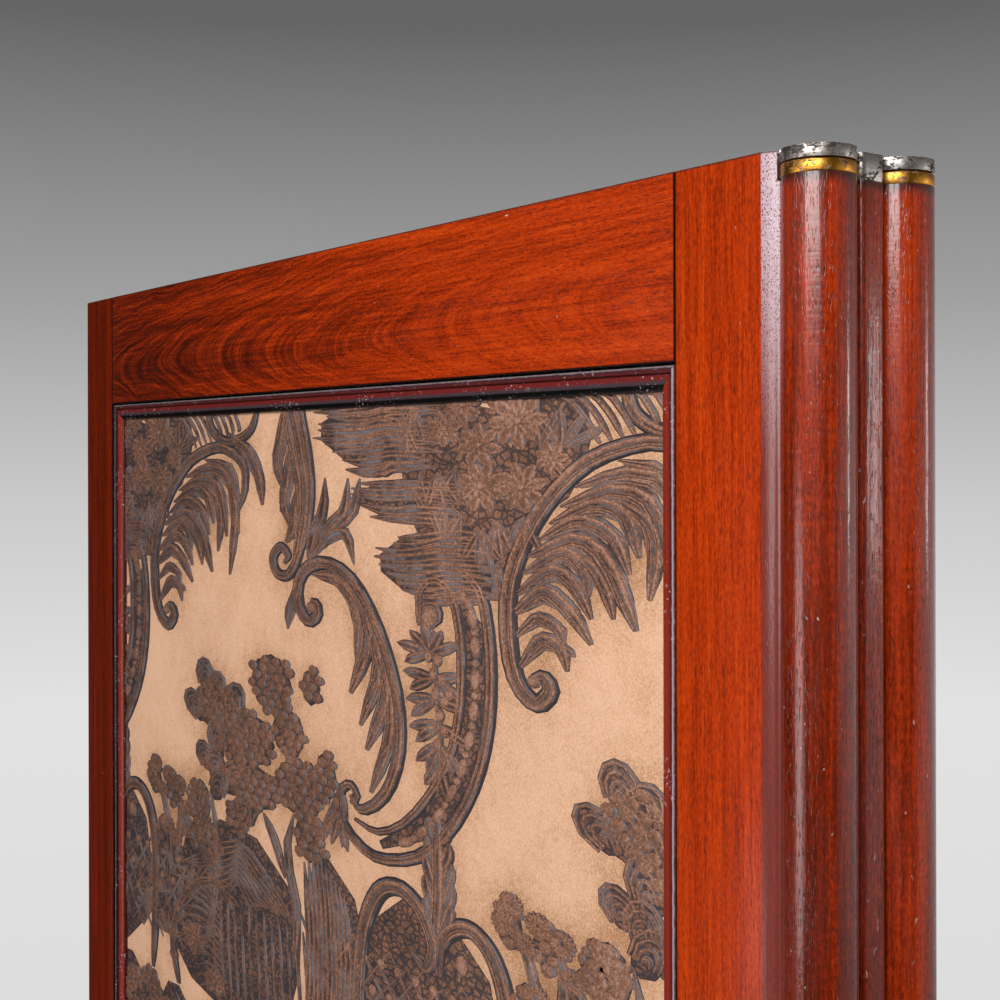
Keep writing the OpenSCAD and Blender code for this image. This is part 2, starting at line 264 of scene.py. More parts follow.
def addLamp(name, lamp, post):
    data = bpy.data.lights.new(name, "AREA")
    data.shape = "RECTANGLE"
    data.size, data.size_y = lamp["size"]
    data.energy = lamp["watts"]
    light = bpy.data.objects.new(name, data)
    scene.collection.objects.link(light)
    x, y = (post[k] + lamp["way"][k] * lamp["away"] for k in (0, 1))
    place = Vector((x, y, lamp["height"]))
    light.location = place
    light.rotation_euler = (Vector(lamp["aim"]) - place).to_track_quat("-Z", "Y").to_euler()
    light.visible_camera = False


def addFloor(look):
    # disc: x = r cos a, y = r sin a, with its rim fading into the backdrop
    rings, sides = look["rings"], look["sides"]
    radii = np.linspace(look["innermost"], 1, rings) ** 1.3 * look["radius"]
    angles = np.linspace(0, 2 * np.pi, sides + 1)[:-1]
    x = np.outer(radii, np.cos(angles))
    y = np.outer(radii, np.sin(angles))
    points = np.stack([x, y, np.full_like(x, -look["sunk"])], -1).reshape(-1, 3)
    a = np.arange(rings - 1)[:, None] * sides + np.arange(sides)
    b = np.arange(rings - 1)[:, None] * sides + (np.arange(sides) + 1) % sides
    quads = np.stack([a, a + sides, b + sides, b], -1).reshape(-1, 4)
    mesh = bpy.data.meshes.new("floor")
    mesh.from_pydata(points.tolist(), [], quads.tolist() + [list(range(sides))])
    floor = bpy.data.objects.new("floor", mesh)
    scene.collection.objects.link(floor)
    material, tree, shader = newMaterial("paleFloor")
    place = objectPlace(tree)
    x, y, z = axesOf(tree, place)
    reach = calc(tree, "SQRT", calc(tree, "ADD", calc(tree, "POWER", x, 2.0), calc(tree, "POWER", y, 2.0)))
    near, far = (look["radius"] * share for share in look["fade"])
    setShader(tree, shader, Base_Color=mixed(tree, cloud(tree, place, 9.0, 3.0), *look["colours"]),
              Roughness=look["roughness"], Alpha=between(tree, reach, near, far, 1.0, 0.0))
    mesh.materials.append(material)


addWorld(studio)
for lampName in ("key", "strip", "back", "front"):
    addLamp(lampName, studio[lampName], studio["postPlace"])
addFloor(studio["floor"])
print("studio set")


# Shared shader effects.

def makeWoodGrain():
    # Vector is in metres with Z along the grain. Tone goes from dark to bright wood, Pores marks the
    # short dark vessel lines and Height is for the bump.
    tree, given, made = newGroup("woodGrain", {"Streaks": 0.5, "Fibres": 0.5, "Ripple": 0.0},
                                 ["Tone", "Pores", "Height"])
    vector = given["Vector"]
    broad = cloud(tree, vector, (26, 26, 1.3), 3.0, 0.55, 0.6)
    bands = cloud(tree, vector, (150, 150, 3.2), 3.0, 0.6, 0.3)
    fibre = cloud(tree, vector, (900, 900, 26), 2.0, 0.6)
    vessel = cloud(tree, vector, (2300, 2300, 230), 1.0, 0.5)
    ripple = cloud(tree, vector, (70, 70, 420), 2.0, 0.5)
    mottle = cloud(tree, vector, (1300, 1300, 520), 2.0, 0.6)
    streaks = summed(tree, 0.0, (broad, 1.0, 0.5), (bands, 0.9, 0.5))
    fine = summed(tree, 0.0, (fibre, 1.0, 0.5), (mottle, 1.0, 0.5))
    cross = summed(tree, 0.0, (ripple, given["Ripple"], 0.5))
    tone = summed(tree, 0.5, (streaks, given["Streaks"]), (fine, given["Fibres"]), (cross, 0.5))
    pores = between(tree, vessel, 0.59, 0.70)
    height = summed(tree, cross, (fibre, 0.35), (pores, -0.5))
    fill(tree, made, {"Tone": tone, "Pores": pores, "Height": height})
    return tree


def makeFlame():
    # nested loops of figure: bands of one noise along q = x - apex - k (z - middle)^2
    tree, given, made = newGroup("flameFigure", {"Apex": -0.2, "Middle": 1.71, "Spread": 150.0}, ["Tone"])
    x, y, z = axesOf(tree, given["Vector"])
    wobble = cloud(tree, given["Vector"], (22, 22, 22), 2.0)
    off = summed(tree, calc(tree, "SUBTRACT", z, given["Middle"]), (wobble, 0.016, 0.5))
    loop = times(tree, times(tree, off, off), given["Spread"])
    q = summed(tree, calc(tree, "SUBTRACT", x, given["Apex"]), (loop, -1.0), (wobble, 0.03))
    along = put(tree, "ShaderNodeCombineXYZ", {0: q, 1: times(tree, x, 0.12)}).outputs[0]
    wide = cloud(tree, along, 75.0, 2.0, 0.6)
    fine = cloud(tree, along, 330.0, 2.0, 0.6)
    fill(tree, made, {"Tone": summed(tree, 0.0, (wide, 1.0, 0.5), (fine, 0.9, 0.5))})
    return tree


def makeWearMarks():
    # Specks are small pale nicks, and Haze is a soft uneven cloud of old wax
    tree, given, made = newGroup("wearMarks", {"Amount": 0.5}, ["Specks", "Haze"])
    small = cloud(tree, given["Vector"], (620, 620, 330), 1.0)
    patch = cloud(tree, given["Vector"], (30, 30, 12), 2.0)
    edge = summed(tree, 0.86, (given["Amount"], -0.16))
    raised = summed(tree, small, (patch, 0.25, 0.5))
    specks = calc(tree, "MULTIPLY", calc(tree, "SUBTRACT", raised, edge), 18.0, clamp=True)
    haze = between(tree, cloud(tree, given["Vector"], (90, 90, 14), 3.0), 0.42, 0.75)
    fill(tree, made, {"Specks": specks, "Haze": haze})
    return tree


woodGrain = makeWoodGrain()
flameFigure = makeFlame()
wearMarks = makeWearMarks()

# a tint is (share, colour), haze and seam are colours, and a place is (from, to) in metres, counted from
# leafTop or leafHalf where its name says so
mahoganyLook = {
    "colours": [(0.0, (0.060, 0.0055, 0.0010)), (0.30, (0.190, 0.0145, 0.0010)),
                (0.50, (0.370, 0.0285, 0.0012)), (0.72, (0.520, 0.0520, 0.0025)),
                (1.0, (0.660, 0.0950, 0.0080))],
    "tilt": (0.008, 0.006, 0),
    "pores": (0.55, (0.05, 0.006, 0.003)),
    "nicks": (0.75, (0.55, 0.42, 0.38)),
    "haze": (0.34, 0.16, 0.17),
    "seam": (0.006, 0.002, 0.001),
    "seamEdge": (0.0010, 0.0003),
    "stain": (0.85, (0.02, 0.008, 0.006)),
    "stainTop": (1.7375, 1.7412),
    "stainFoot": (0.0235, 0.0197),
    # painted shade: the frame wood is darkened towards the left over this place
    "paintedShadeLeftPlace": (0.17, -0.24),
    # painted shade: the posts and fillet darken downwards over this place below the top
    "paintedShadeDownBelowTop": (0.04, 0.24),
    "coatRoughness": 0.16,
    "bumpHeight": 0.0003,
    "hazeDulls": 0.12,
    "nicksDull": 0.2,
}
arrisLook = {
    "insideHalf": (0.0058, 0.0053),
    "rubbed": (0.8, (0.11, 0.016, 0.012)),
    "pits": (2300.0, 0.36, 0.48),
    # the pale lilac tint near the top of the arris is a painted highlight that fades downwards
    "paintedHighlightBelowTop": (0.10, 0.005, 0.02, 0.68),
    "paintedHighlight": (1.0, (0.68, 0.55, 0.62)),
    "coatMore": 0.12,
    "edgeBelowTop": (0.0009, 0.0003),
    "topEdge": (0.85, (0.05, 0.012, 0.008)),
}


def seamMask(tree, axes, seams, edge):
    # black dirt in the joints: 1 close to each line (axis, middle, distance from it)
    dirt = 0.0
    for axis, middle, away in seams:
        off = calc(tree, "ABSOLUTE", calc(tree, "SUBTRACT", axes[axis], middle))
        near = calc(tree, "ABSOLUTE", calc(tree, "SUBTRACT", off, away))
        dirt = calc(tree, "MAXIMUM", dirt, between(tree, near, *edge))
    return dirt


def arrisWearAndHighlight(tree, place, axes, middle, look):
    # masks for a leaf's outer edges: the rubbed strip, its pitted painted highlight near the top, the top
    # edge
    away = calc(tree, "ABSOLUTE", calc(tree, "SUBTRACT", axes[0], middle))
    strip = between(tree, away, *(leafHalf - inside for inside in look["insideHalf"]))
    scale, low, high = look["pits"]
    pits = between(tree, cloud(tree, stretch(tree, place, (1, 1, 0.7)), scale, 2.0, 0.6), low, high)
    first, last, least, most = look["paintedHighlightBelowTop"]
    paintedHighlight = between(tree, axes[2], leafTop - first, leafTop - last, least, most)
    top = between(tree, axes[2], *(leafTop - below for below in look["edgeBelowTop"]))
    return strip, times(tree, times(tree, paintedHighlight, strip), pits), top


def mahogany(name, alongX=False, tone=0.0, streaks=0.7, fibres=0.35, ripple=0.0, flame=None, wear=0.3,
             haze=0.0, gloss=0.30, shift=(0, 0, 0), stained=False, paintedShadeLeft=0.0, seams=(), arris=None,
             paintedShadeDown=0.0, dents=0.25, coat=0.10, shine=0.16, look=mahoganyLook):
    # polished mahogany: the grain runs up the piece, or along X on the rails. arris is the middle of the
    # leaf, whose outer edges are rubbed dark and carry a painted pale highlight near the top
    material, tree, shader = newMaterial(name)
    place = objectPlace(tree)
    turned = stretch(tree, place, (1, 1, 1), shift, (0, math.pi / 2, 0) if alongX else look["tilt"])
    grain = placeGroup(tree, woodGrain, {
        "Vector": turned, "Streaks": streaks, "Fibres": fibres, "Ripple": ripple})
    marks = placeGroup(tree, wearMarks, {"Vector": turned, "Amount": wear})
    value = calc(tree, "ADD", grain["Tone"], tone)
    axes = axesOf(tree, place)
    if flame:
        figure = placeGroup(tree, flameFigure, {
            "Vector": place, "Apex": flame["apex"], "Middle": flame["middle"],
            "Spread": flame["spread"]})[0]
        share = between(tree, axes[0], flame["end"], flame["apex"], flame["least"], flame["most"])
        value = summed(tree, value, (figure, share))
    # painted shade: darker towards the left
    if paintedShadeLeft:
        value = calc(tree, "SUBTRACT", value, between(tree, axes[0], *look["paintedShadeLeftPlace"], 0.0, paintedShadeLeft))
    # painted shade: darker further down
    if paintedShadeDown:
        places = (leafTop - below for below in look["paintedShadeDownBelowTop"])
        value = calc(tree, "SUBTRACT", value, between(tree, axes[2], *places, 0.0, paintedShadeDown))
    colour = tinted(tree, stops(tree, value, look["colours"]), grain["Pores"], look["pores"])
    if stained:
        top, foot = (between(tree, axes[2], *look[end]) for end in ("stainTop", "stainFoot"))
        colour = tinted(tree, colour, calc(tree, "MAXIMUM", top, foot), look["stain"])
    if haze:
        colour = tinted(tree, colour, marks["Haze"], (haze, look["haze"]))
    if seams:
        colour = mixed(tree, seamMask(tree, axes, seams, look["seamEdge"]), colour, look["seam"])
    colour = tinted(tree, colour, marks["Specks"], look["nicks"])
    rough = summed(tree, gloss, (marks["Haze"], look["hazeDulls"]), (marks["Specks"], look["nicksDull"]))
    coatWeight = coat
    if arris is not None:
        strip, paintedHighlight, top = arrisWearAndHighlight(tree, place, axes, arris, arrisLook)
        colour = tinted(tree, colour, strip, arrisLook["rubbed"])
        # painted highlight: the arris is made pale near the top
        colour = tinted(tree, colour, paintedHighlight, arrisLook["paintedHighlight"])
        colour = tinted(tree, colour, top, arrisLook["topEdge"])
        coatWeight = summed(tree, coat, (strip, arrisLook["coatMore"]))
        rough = calc(tree, "MAXIMUM", rough, times(tree, top, arrisLook["topEdge"][0]))
    uneven = bumped(tree, grain["Height"], dents, look["bumpHeight"])
    setShader(tree, shader, Base_Color=colour, Roughness=rough, Normal=uneven, Coat_Normal=uneven,
              Coat_Weight=coatWeight, Coat_Roughness=look["coatRoughness"], Specular_IOR_Level=shine)
    return material


frameLook = {
    "panelSideX": 0.2385, "topRailZ": 1.688, "bottomRailZ": 0.099,
    "topFlame": {"apex": -0.17, "middle": 1.708, "spread": 150.0, "end": 0.20, "least": 0.35, "most": 1.15},
    "lowFlame": {"apex": -0.10, "middle": 0.055, "spread": 90.0, "end": 0.20, "least": 0.15, "most": 0.9},
}


def makeFrameWoods(name, middle, look):
    # the stiles and rails of the leaves whose middle lies at that x
    side = (0, middle, look["panelSideX"])
    topSeam, lowSeam = ((2, look[key], 0.0) for key in ("topRailZ", "bottomRailZ"))
    return {
        # the left stile's low tone and the top rail's darkening to the left are painted shade
        "left_stile": mahogany(f"leftStile{name}", tone=-0.31, streaks=0.5, fibres=0.5,
                               shift=(0.3, 0.1, 0), seams=[side], arris=middle),
        "right_stile": mahogany(f"rightStile{name}", tone=0.03, streaks=0.45, fibres=0.6, wear=0.2,
                                seams=[side], arris=middle),
        "top_rail": mahogany(f"topRail{name}", alongX=True, streaks=0.5, fibres=0.55,
                             flame=look["topFlame"], paintedShadeLeft=0.28, seams=[side, topSeam], arris=middle),
        "bottom_rail": mahogany(f"bottomRail{name}", alongX=True, tone=-0.02, streaks=0.6,
                                flame=look["lowFlame"], seams=[side, lowSeam]),
    }


frameWoods = {leaf: makeFrameWoods(name, leafPlan[leaf][0] * mm, frameLook)
              for leaf, name in ((1, "Front"), (3, "Rear"))}
frameWoods[2] = frameWoods[1]
# the posts and the fillet are darkened downwards: painted shade
postWood = mahogany("postMahogany", tone=-0.06, streaks=0.8, fibres=0.6, ripple=0.35, wear=0.62, haze=0.05,
                    gloss=0.26, stained=True, paintedShadeDown=0.16, dents=0.38, coat=0.9, shine=0.2)
filletWood = mahogany("filletMahogany", tone=-0.10, streaks=0.5, fibres=0.8, ripple=0.2, wear=0.85,
                      haze=0.10, gloss=0.34, shift=(0, 0.2, 0), stained=True, paintedShadeDown=0.12, dents=0.5,
                      coat=0.6, shine=0.2)

metalLook = {
    # the ferrules' pale rub colour is rubbed wear and painted glare
    "ferrule": {"gold": (0.70, 0.31, 0.04), "dark": (0.12, 0.05, 0.02), "rubAndGlare": (0.90, 0.82, 0.72),
                "tarnish": 0.62, "gloss": 0.34},
    "bracket": {"gold": (0.47, 0.43, 0.40), "dark": (0.05, 0.040, 0.036), "rubAndGlare": (0.70, 0.40, 0.12),
                "tarnish": 0.66, "gloss": 0.38},
    "iron": {"bare": (0.09, 0.085, 0.08), "rust": (0.11, 0.045, 0.02), "metallic": 0.8, "gloss": 0.45},
}
pineColours = [(0.1, (0.42, 0.24, 0.10)), (0.5, (0.62, 0.42, 0.21)), (0.9, (0.72, 0.54, 0.31))]


def makePine(colours):
    material, tree, shader = newMaterial("strainerPine")
    grain = placeGroup(tree, woodGrain, {"Vector": objectPlace(tree), "Streaks": 0.6, "Fibres": 0.4})
    setShader(tree, shader, Base_Color=stops(tree, grain["Tone"], colours), Roughness=0.7,
              Normal=bumped(tree, grain["Height"], 0.3, 0.0004))
    return material


def makeBrass(name, look):
    # mottled brass: metal, dark tarnish and rubs of another colour, pale on the ferrules as painted glare
    material, tree, shader = newMaterial(name)
    place = objectPlace(tree)
    patch = cloud(tree, place, 190.0, 4.0, 0.65, 0.6)
    small = cloud(tree, stretch(tree, place, (1, 1, 2.2)), 620.0, 3.0, 0.6)
    least = 0.62 - look["tarnish"] * 0.2
    dull = between(tree, summed(tree, 0.0, (patch, 0.65), (small, 0.35)), least, least + 0.10)
    rubAndGlare = between(tree, calc(tree, "ADD", patch, small), 1.06, 1.20)
    colour = mixed(tree, dull, mixed(tree, rubAndGlare, look["gold"], look["rubAndGlare"]), look["dark"])
    setShader(tree, shader, Base_Color=colour, Roughness=summed(tree, look["gloss"], (dull, 0.3)),
              Metallic=summed(tree, 1.0, (dull, -0.7)), Normal=bumped(tree, small, 0.35, 0.0002))
    return material


def makeIron(look):
    material, tree, shader = newMaterial("ironTacks")
    rust = between(tree, cloud(tree, objectPlace(tree), 900.0, 3.0), 0.45, 0.65)
    setShader(tree, shader, Base_Color=mixed(tree, rust, look["bare"], look["rust"]),
              Roughness=summed(tree, look["gloss"], (rust, 0.35)), Metallic=look["metallic"])
    return material


pine = makePine(pineColours)
ferruleBrass = makeBrass("ferruleBrass", metalLook["ferrule"])
bracketBrass = makeBrass("bracketBrass", metalLook["bracket"])
iron = makeIron(metalLook["iron"])


# Finish on the CAD's own pieces.

edgeLook = {"merge": 0.00001, "width": 0.0005, "segments": 2, "angle": math.radians(32)}


def makeSmoother(angle):
    # shades faces smooth and keeps edges sharper than the angle
    tree = bpy.data.node_groups.new("smoothCurves", "GeometryNodeTree")
    for way in ("INPUT", "OUTPUT"):
        tree.interface.new_socket(name="Geometry", in_out=way, socket_type="NodeSocketGeometry")
    given = tree.nodes.new("NodeGroupInput")
    made = tree.nodes.new("NodeGroupOutput")
    edge = put(tree, "GeometryNodeInputMeshEdgeAngle").outputs[0]
    soft = put(tree, "FunctionNodeCompare", {0: edge, 1: angle}, data_type="FLOAT",
               operation="LESS_EQUAL").outputs[0]
    whole = put(tree, "GeometryNodeSetShadeSmooth", {"Geometry": given.outputs[0], "Shade Smooth": True},
                domain="FACE").outputs[0]
    kept = put(tree, "GeometryNodeSetShadeSmooth", {"Geometry": whole, "Shade Smooth": soft}, domain="EDGE")
    tree.links.new(kept.outputs[0], made.inputs[0])
    return tree


smoother = makeSmoother(edgeLook["angle"])


def shadeSmooth(piece):
    smooth = piece.modifiers.new("smooth", "NODES")
    smooth.node_group = smoother


def finishNode(name, material, rounded, look):
    piece = nodes[name]
    piece.data.materials.clear()
    piece.data.materials.append(material)
    weld = piece.modifiers.new("weld", "WELD")
    weld.merge_threshold = look["merge"]
    if rounded:
        bevel = piece.modifiers.new("bevel", "BEVEL")
        bevel.width = look["width"]
        bevel.segments = look["segments"]
        bevel.limit_method = "ANGLE"
        bevel.angle_limit = look["angle"]
    shadeSmooth(piece)


nodeFinish = {
    "strainer": (pine, False), "canvas_tacks": (iron, False), "moulding_pins": (iron, False),
    "post": (postWood, False), "ferrules": (ferruleBrass, True), "pivot_screws": (bracketBrass, False),
    "fillet": (filletWood, False), "top_bracket": (bracketBrass, True),
    "bottom_bracket": (bracketBrass, True), "bracket_screws": (bracketBrass, False),
    "washers": (ferruleBrass, False)}
for nodeName in nodes:
    for ending, (finish, rounded) in nodeFinish.items():
        if nodeName.endswith(ending):
            finishNode(nodeName, finish, rounded, edgeLook)
for leaf, finishes in frameWoods.items():
    for ending, finish in finishes.items():
        finishNode(f"leaf_{leaf}_{ending}", finish, True, edgeLook)
print("wood and brass finished")


# The three leaves and their two faces.

panelLook = {
    "widthMm": 476.4, "heightMm": 1588.4, "middleMm": 893.5, "outMm": 6.7, "canvasMm": 1.2,
    "sightWidthMm": 458.4, "sightHeightMm": 1570.4}
firstMeshes = {}


def ontoFace(points, leaf, side):
    # (across, up, out) in mm from the panel's middle to the shared frame: the front faces -Y, and the
    # back is the same turned half round
    way = 1 if side == "back" else -1
    x = leafPlan[leaf][0] - way * points[:, 0]
    y = leafPlan[leaf][1] + way * (panelLook["outMm"] + points[:, 2])
    z = panelLook["middleMm"] + points[:, 1]
    return np.stack([x, y, z], 1) * mm


def makePiece(part, leaf, side, slot, points, faces, material, values):
    # a piece on one face of a leaf: the first of its kind builds the mesh, and the others copy its faces
    # and values and take points of their own
    name = f"leaf_{leaf}_{side}_{part}"
    placed = ontoFace(points, leaf, side)
    if part in firstMeshes:
        mesh = firstMeshes[part].copy()
        mesh.name = name
        mesh.vertices.foreach_set("co", np.ascontiguousarray(placed, np.float32).ravel())
    else:
        mesh = bpy.data.meshes.new(name)
        mesh.from_pydata(placed.tolist(), [], faces)
        for key, array in values.items():
            layer = mesh.attributes.new(key, "FLOAT", "POINT")
            layer.data.foreach_set("value", np.ascontiguousarray(array, np.float32))
        mesh.polygons.foreach_set("use_smooth", np.ones(len(mesh.polygons), bool))
        mesh.materials.append(material)
        firstMeshes[part] = mesh
    mesh.update()
    piece = bpy.data.objects.new(name, mesh)
    scene.collection.objects.link(piece)
    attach(piece, f"leaf_{leaf}")
    return piece


def gridQuads(rows, count):
    # quads between neighbouring rows of a grid of points, from the first column to the last
    a = (np.arange(rows - 1)[:, None] * count + np.arange(count - 1)).reshape(-1)
    return np.stack([a, a + count, a + count + 1, a + 1], -1)


# Moulding.

mouldingLook = {
    "quirkMm": 0.6, "quirkHighMm": 2.2, "beadMm": 1.15, "beadHighMm": 3.35, "innerMm": 3.5, "arcPoints": 13,
    "ovoloMm": 5.5, "lipMm": 1.2, "riseMm": 2.15, "stepMm": 28.0, "mitreGapMm": 0.04, "unevenMm": 0.05,
    "wavePerMm": 0.031,
    # side runs: black joint line, a painted highlight with pale wear on the bead, dark groove, red ovolo
    "sides": [(0.0, (0.004, 0.002, 0.002)), (0.055, (0.004, 0.002, 0.002)), (0.10, (0.10, 0.03, 0.03)),
              (0.16, (0.38, 0.28, 0.31)), (0.22, (0.05, 0.020, 0.032)), (0.33, (0.016, 0.005, 0.005)),
              (0.42, (0.12, 0.010, 0.007)), (0.60, (0.27, 0.022, 0.009)), (0.90, (0.20, 0.016, 0.008)),
              (1.0, (0.05, 0.008, 0.008))],
    # top run: painted highlight on the bead's upper side, then a painted slate reflection and painted black
    # shadow under the ovolo
    "top": [(0.0, (0.004, 0.002, 0.002)), (0.05, (0.004, 0.002, 0.002)), (0.085, (0.34, 0.27, 0.28)),
            (0.12, (0.20, 0.14, 0.15)), (0.16, (0.03, 0.016, 0.022)), (0.24, (0.10, 0.012, 0.012)),
            (0.38, (0.14, 0.013, 0.011)), (0.56, (0.15, 0.014, 0.012)), (0.62, (0.06, 0.034, 0.042)),
            (0.72, (0.05, 0.032, 0.040)), (0.76, (0.002, 0.001, 0.001)), (1.0, (0.002, 0.001, 0.001))],
    "nicks": (0.8, (0.50, 0.44, 0.44)),
}


def mouldingSection(look):
    # sunk line, bead arc, sunk line, then the ovolo x = inner + w sin a, y = lip + rise cos a
    bead = np.radians(np.linspace(180, 0, look["arcPoints"]))
    ovolo = np.radians(np.linspace(0, 90, look["arcPoints"]))
    beadX = look["quirkMm"] + look["beadMm"] + look["beadMm"] * np.cos(bead)
    beadY = look["beadHighMm"] + look["beadMm"] * np.sin(bead)
    ovoloX = look["innerMm"] + look["ovoloMm"] * np.sin(ovolo)
    ovoloY = look["lipMm"] + look["riseMm"] * np.cos(ovolo)
    edge = look["quirkHighMm"]
    start = np.array([[0, 0], [0, edge], [look["quirkMm"], edge]])
    middle = np.array([[beadX[-1], edge], [look["innerMm"], edge]])
    end = np.array([[look["innerMm"] + look["ovoloMm"], 0]])
    return np.concatenate([start, np.stack([beadX, beadY], 1), middle, np.stack([ovoloX, ovoloY], 1), end])


def mouldingArrays(look, panel):
    # each run: section points (in, out) at stations s along it, cut back to the mitre, so
    # across = s (half - in) and up = -(half height - in), then turned to each side
    section = mouldingSection(look)
    count = len(section)
    raised = section[None, :, 1] > 1
    points, faces, places, tops = [], [], [], []
    start = 0
    for run in range(4):
        length, reach = panel["widthMm"], panel["heightMm"]
        if run % 2:
            length, reach = reach, length
        rows = int(length / look["stepMm"])
        s = np.linspace(-1, 1, rows)
        across = s[:, None] * (length / 2 - section[None, :, 0] - look["mitreGapMm"])
        wave = look["unevenMm"] * (np.sin(across * look["wavePerMm"] + run) - 1) * raised
        up = -(reach / 2 - section[None, :, 0]) + 0 * across
        out = section[None, :, 1] + wave
        turn = np.radians(90 * run)
        x = np.cos(turn) * across - np.sin(turn) * up
        y = np.sin(turn) * across + np.cos(turn) * up
        points.append(np.stack([x, y, out], -1).reshape(-1, 3))
        a = np.arange(rows - 1)[:, None] * count + np.arange(count) + start
        b = np.arange(rows - 1)[:, None] * count + (np.arange(count) + 1) % count + start
        faces += np.stack([a, a + count, b + count, b], -1).reshape(-1, 4).tolist()
        first = list(range(start, start + count))
        last = list(range(start + (rows - 1) * count, start + rows * count))
        faces += [first, last[::-1]]
        places.append(np.tile(section[:, 0] / (look["innerMm"] + look["ovoloMm"]), rows))
        tops.append(np.full(rows * count, 1.0 if run == 2 else 0.0))
        start += rows * count
    return np.concatenate(points), faces, np.concatenate(places), np.concatenate(tops)


def makeMouldingMaterial(look):
    # colour by the place across the section: dark lines, the bead with a painted highlight and pale wear,
    # then the red ovolo, which along the top has a painted reflection and painted black shadow underneath
    material, tree, shader = newMaterial("mouldingMahogany")
    where = objectPlace(tree)
    grain = cloud(tree, where, 420.0, 3.0, 0.6)
    shade = summed(tree, attribute(tree, "place"), (grain, 0.08, 0.5))
    # the top run gets its own colours: painted reflection and painted shadow under its ovolo
    sides, top = (stops(tree, shade, look[run]) for run in ("sides", "top"))
    colour = mixed(tree, attribute(tree, "topRun"), sides, top)
    specks = between(tree, cloud(tree, where, 760.0, 2.0, 0.6), 0.62, 0.70)
    patch = between(tree, cloud(tree, where, 60.0, 2.0), 0.40, 0.62)
    setShader(tree, shader, Base_Color=tinted(tree, colour, times(tree, specks, patch), look["nicks"]),
              Roughness=summed(tree, 0.30, (grain, 0.15)), Normal=bumped(tree, grain, 0.3, 0.0003),
              Coat_Weight=0.15, Coat_Roughness=0.2, Specular_IOR_Level=0.25)
    return material


def makeMouldings():
    points, faces, places, tops = mouldingArrays(mouldingLook, panelLook)
    material = makeMouldingMaterial(mouldingLook)
    for leaf in leafPlan:
        for side in ("front", "back"):
            piece = makePiece("beading", leaf, side, "moulding_mahogany", points, faces, material,
                              {"place": places, "topRun": tops})
            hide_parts(f"leaf_{leaf}_{side}_moulding")
            shadeSmooth(piece)


makeMouldings()
print("mouldings made")


# Raised ornament. The design lies in mm: x runs right and y up, from the top right corner of one repeat,
# and x is stretched by wide at the end. across goes from edge to edge of a stroke, highMm and tone are
# given at its places, and bulge holds the two powers of its width.

ornament = {
    "repeatMm": (330.0, 317.6), "topRightMm": (229.2, 785.2), "edgeMm": 0.35, "wide": 1.7, "turnMm": 12.0,
    "rootMm": 4.5, "engraveMm": 1.25, "finePoints": 161,
    "kinds": {
        "ribbon": {"steps": 34, "across": (-1, -1, -0.6, 0, 0.6, 1, 1), "flange": 0.8, "bulge": (0.22, 0.3),
                   "highMm": (-0.1, 0.35, 1.0, 0.5, 1.0, 0.35, -0.1), "tone": (0, 0.1, 1, 0.6, 1, 0.1, 0)},
        "blade": {"steps": 6, "across": (-1, -0.6, 0, 0.6, 1), "flange": 0.5, "bulge": (0.45, 0.5),
                  "highMm": (-0.1, 0.85, 0.45, 0.85, -0.1), "tone": (0, 1, 0.3, 1, 0)},
        "lobe": {"steps": 8, "across": (-1, -0.6, 0, 0.6, 1), "flange": 0.6, "bulge": (0.5, 0.38),
                 "highMm": (-0.1, 0.9, 0.5, 0.9, -0.1), "tone": (0, 1, 0.55, 1, 0)},
        "petal": {"steps": 4, "across": (-1, -0.70, 0, 0.70, 1), "flange": 0.35, "bulge": (0.5, 0.3),
                  "highMm": (-0.1, 0.95, 0.62, 0.95, -0.1), "tone": (0, 1, 0.7, 1, 0)},
        "scale": {"steps": 4, "across": (-1, -0.66, 0, 0.66, 1), "flange": 0.3, "bulge": (0.35, 0.22),
                  "highMm": (-0.1, 0.8, 0.7, 0.8, -0.1), "tone": (0, 0.9, 0.8, 0.9, 0)},
        "line": {"steps": 7, "across": (-1, 0, 1), "flange": 0.25, "bulge": (0.2, 0.2),
                 "highMm": (-0.1, 0.85, -0.1), "tone": (0, 1, 0)},
        "ground": {"steps": 6, "across": (-1, -1, 0, 1, 1), "flange": 0.8, "bulge": (0.3, 0.3),
                   "highMm": (-0.1, 0.2, 0.24, 0.2, -0.1), "tone": (0, -1, -1, -1, 0)},
    },
    "scrollwork": ("ribbon", "blade", "lobe"),
    "engraved": ("ribbon", "lobe"),
    "dome": {"sides": 8, "share": (1.12, 0.9, 0.45), "level": (-0.1, 0.75, 1.0), "tone": (0, 0.9, 1)},
}


def walk(rows, count):
    # row: x, y, heading, turn, end curl, length, half width, lift. heading = first + turn t + curl t^4,
    # and the place is the running sum of (cos, sin) of the heading at the middle of each step
    t = np.linspace(0, 1, count)
    heading = np.radians(rows[:, 2:3] + rows[:, 3:4] * t + rows[:, 4:5] * t ** 4)
    middle = (heading[:, 1:] + heading[:, :-1]) / 2
    step = rows[:, 5:6] / (count - 1)
    zero = np.zeros((len(rows), 1))
    x = rows[:, 0:1] + np.concatenate([zero, np.cumsum(np.cos(middle) * step, 1)], 1)
    y = rows[:, 1:2] + np.concatenate([zero, np.cumsum(np.sin(middle) * step, 1)], 1)
    return x, y, heading


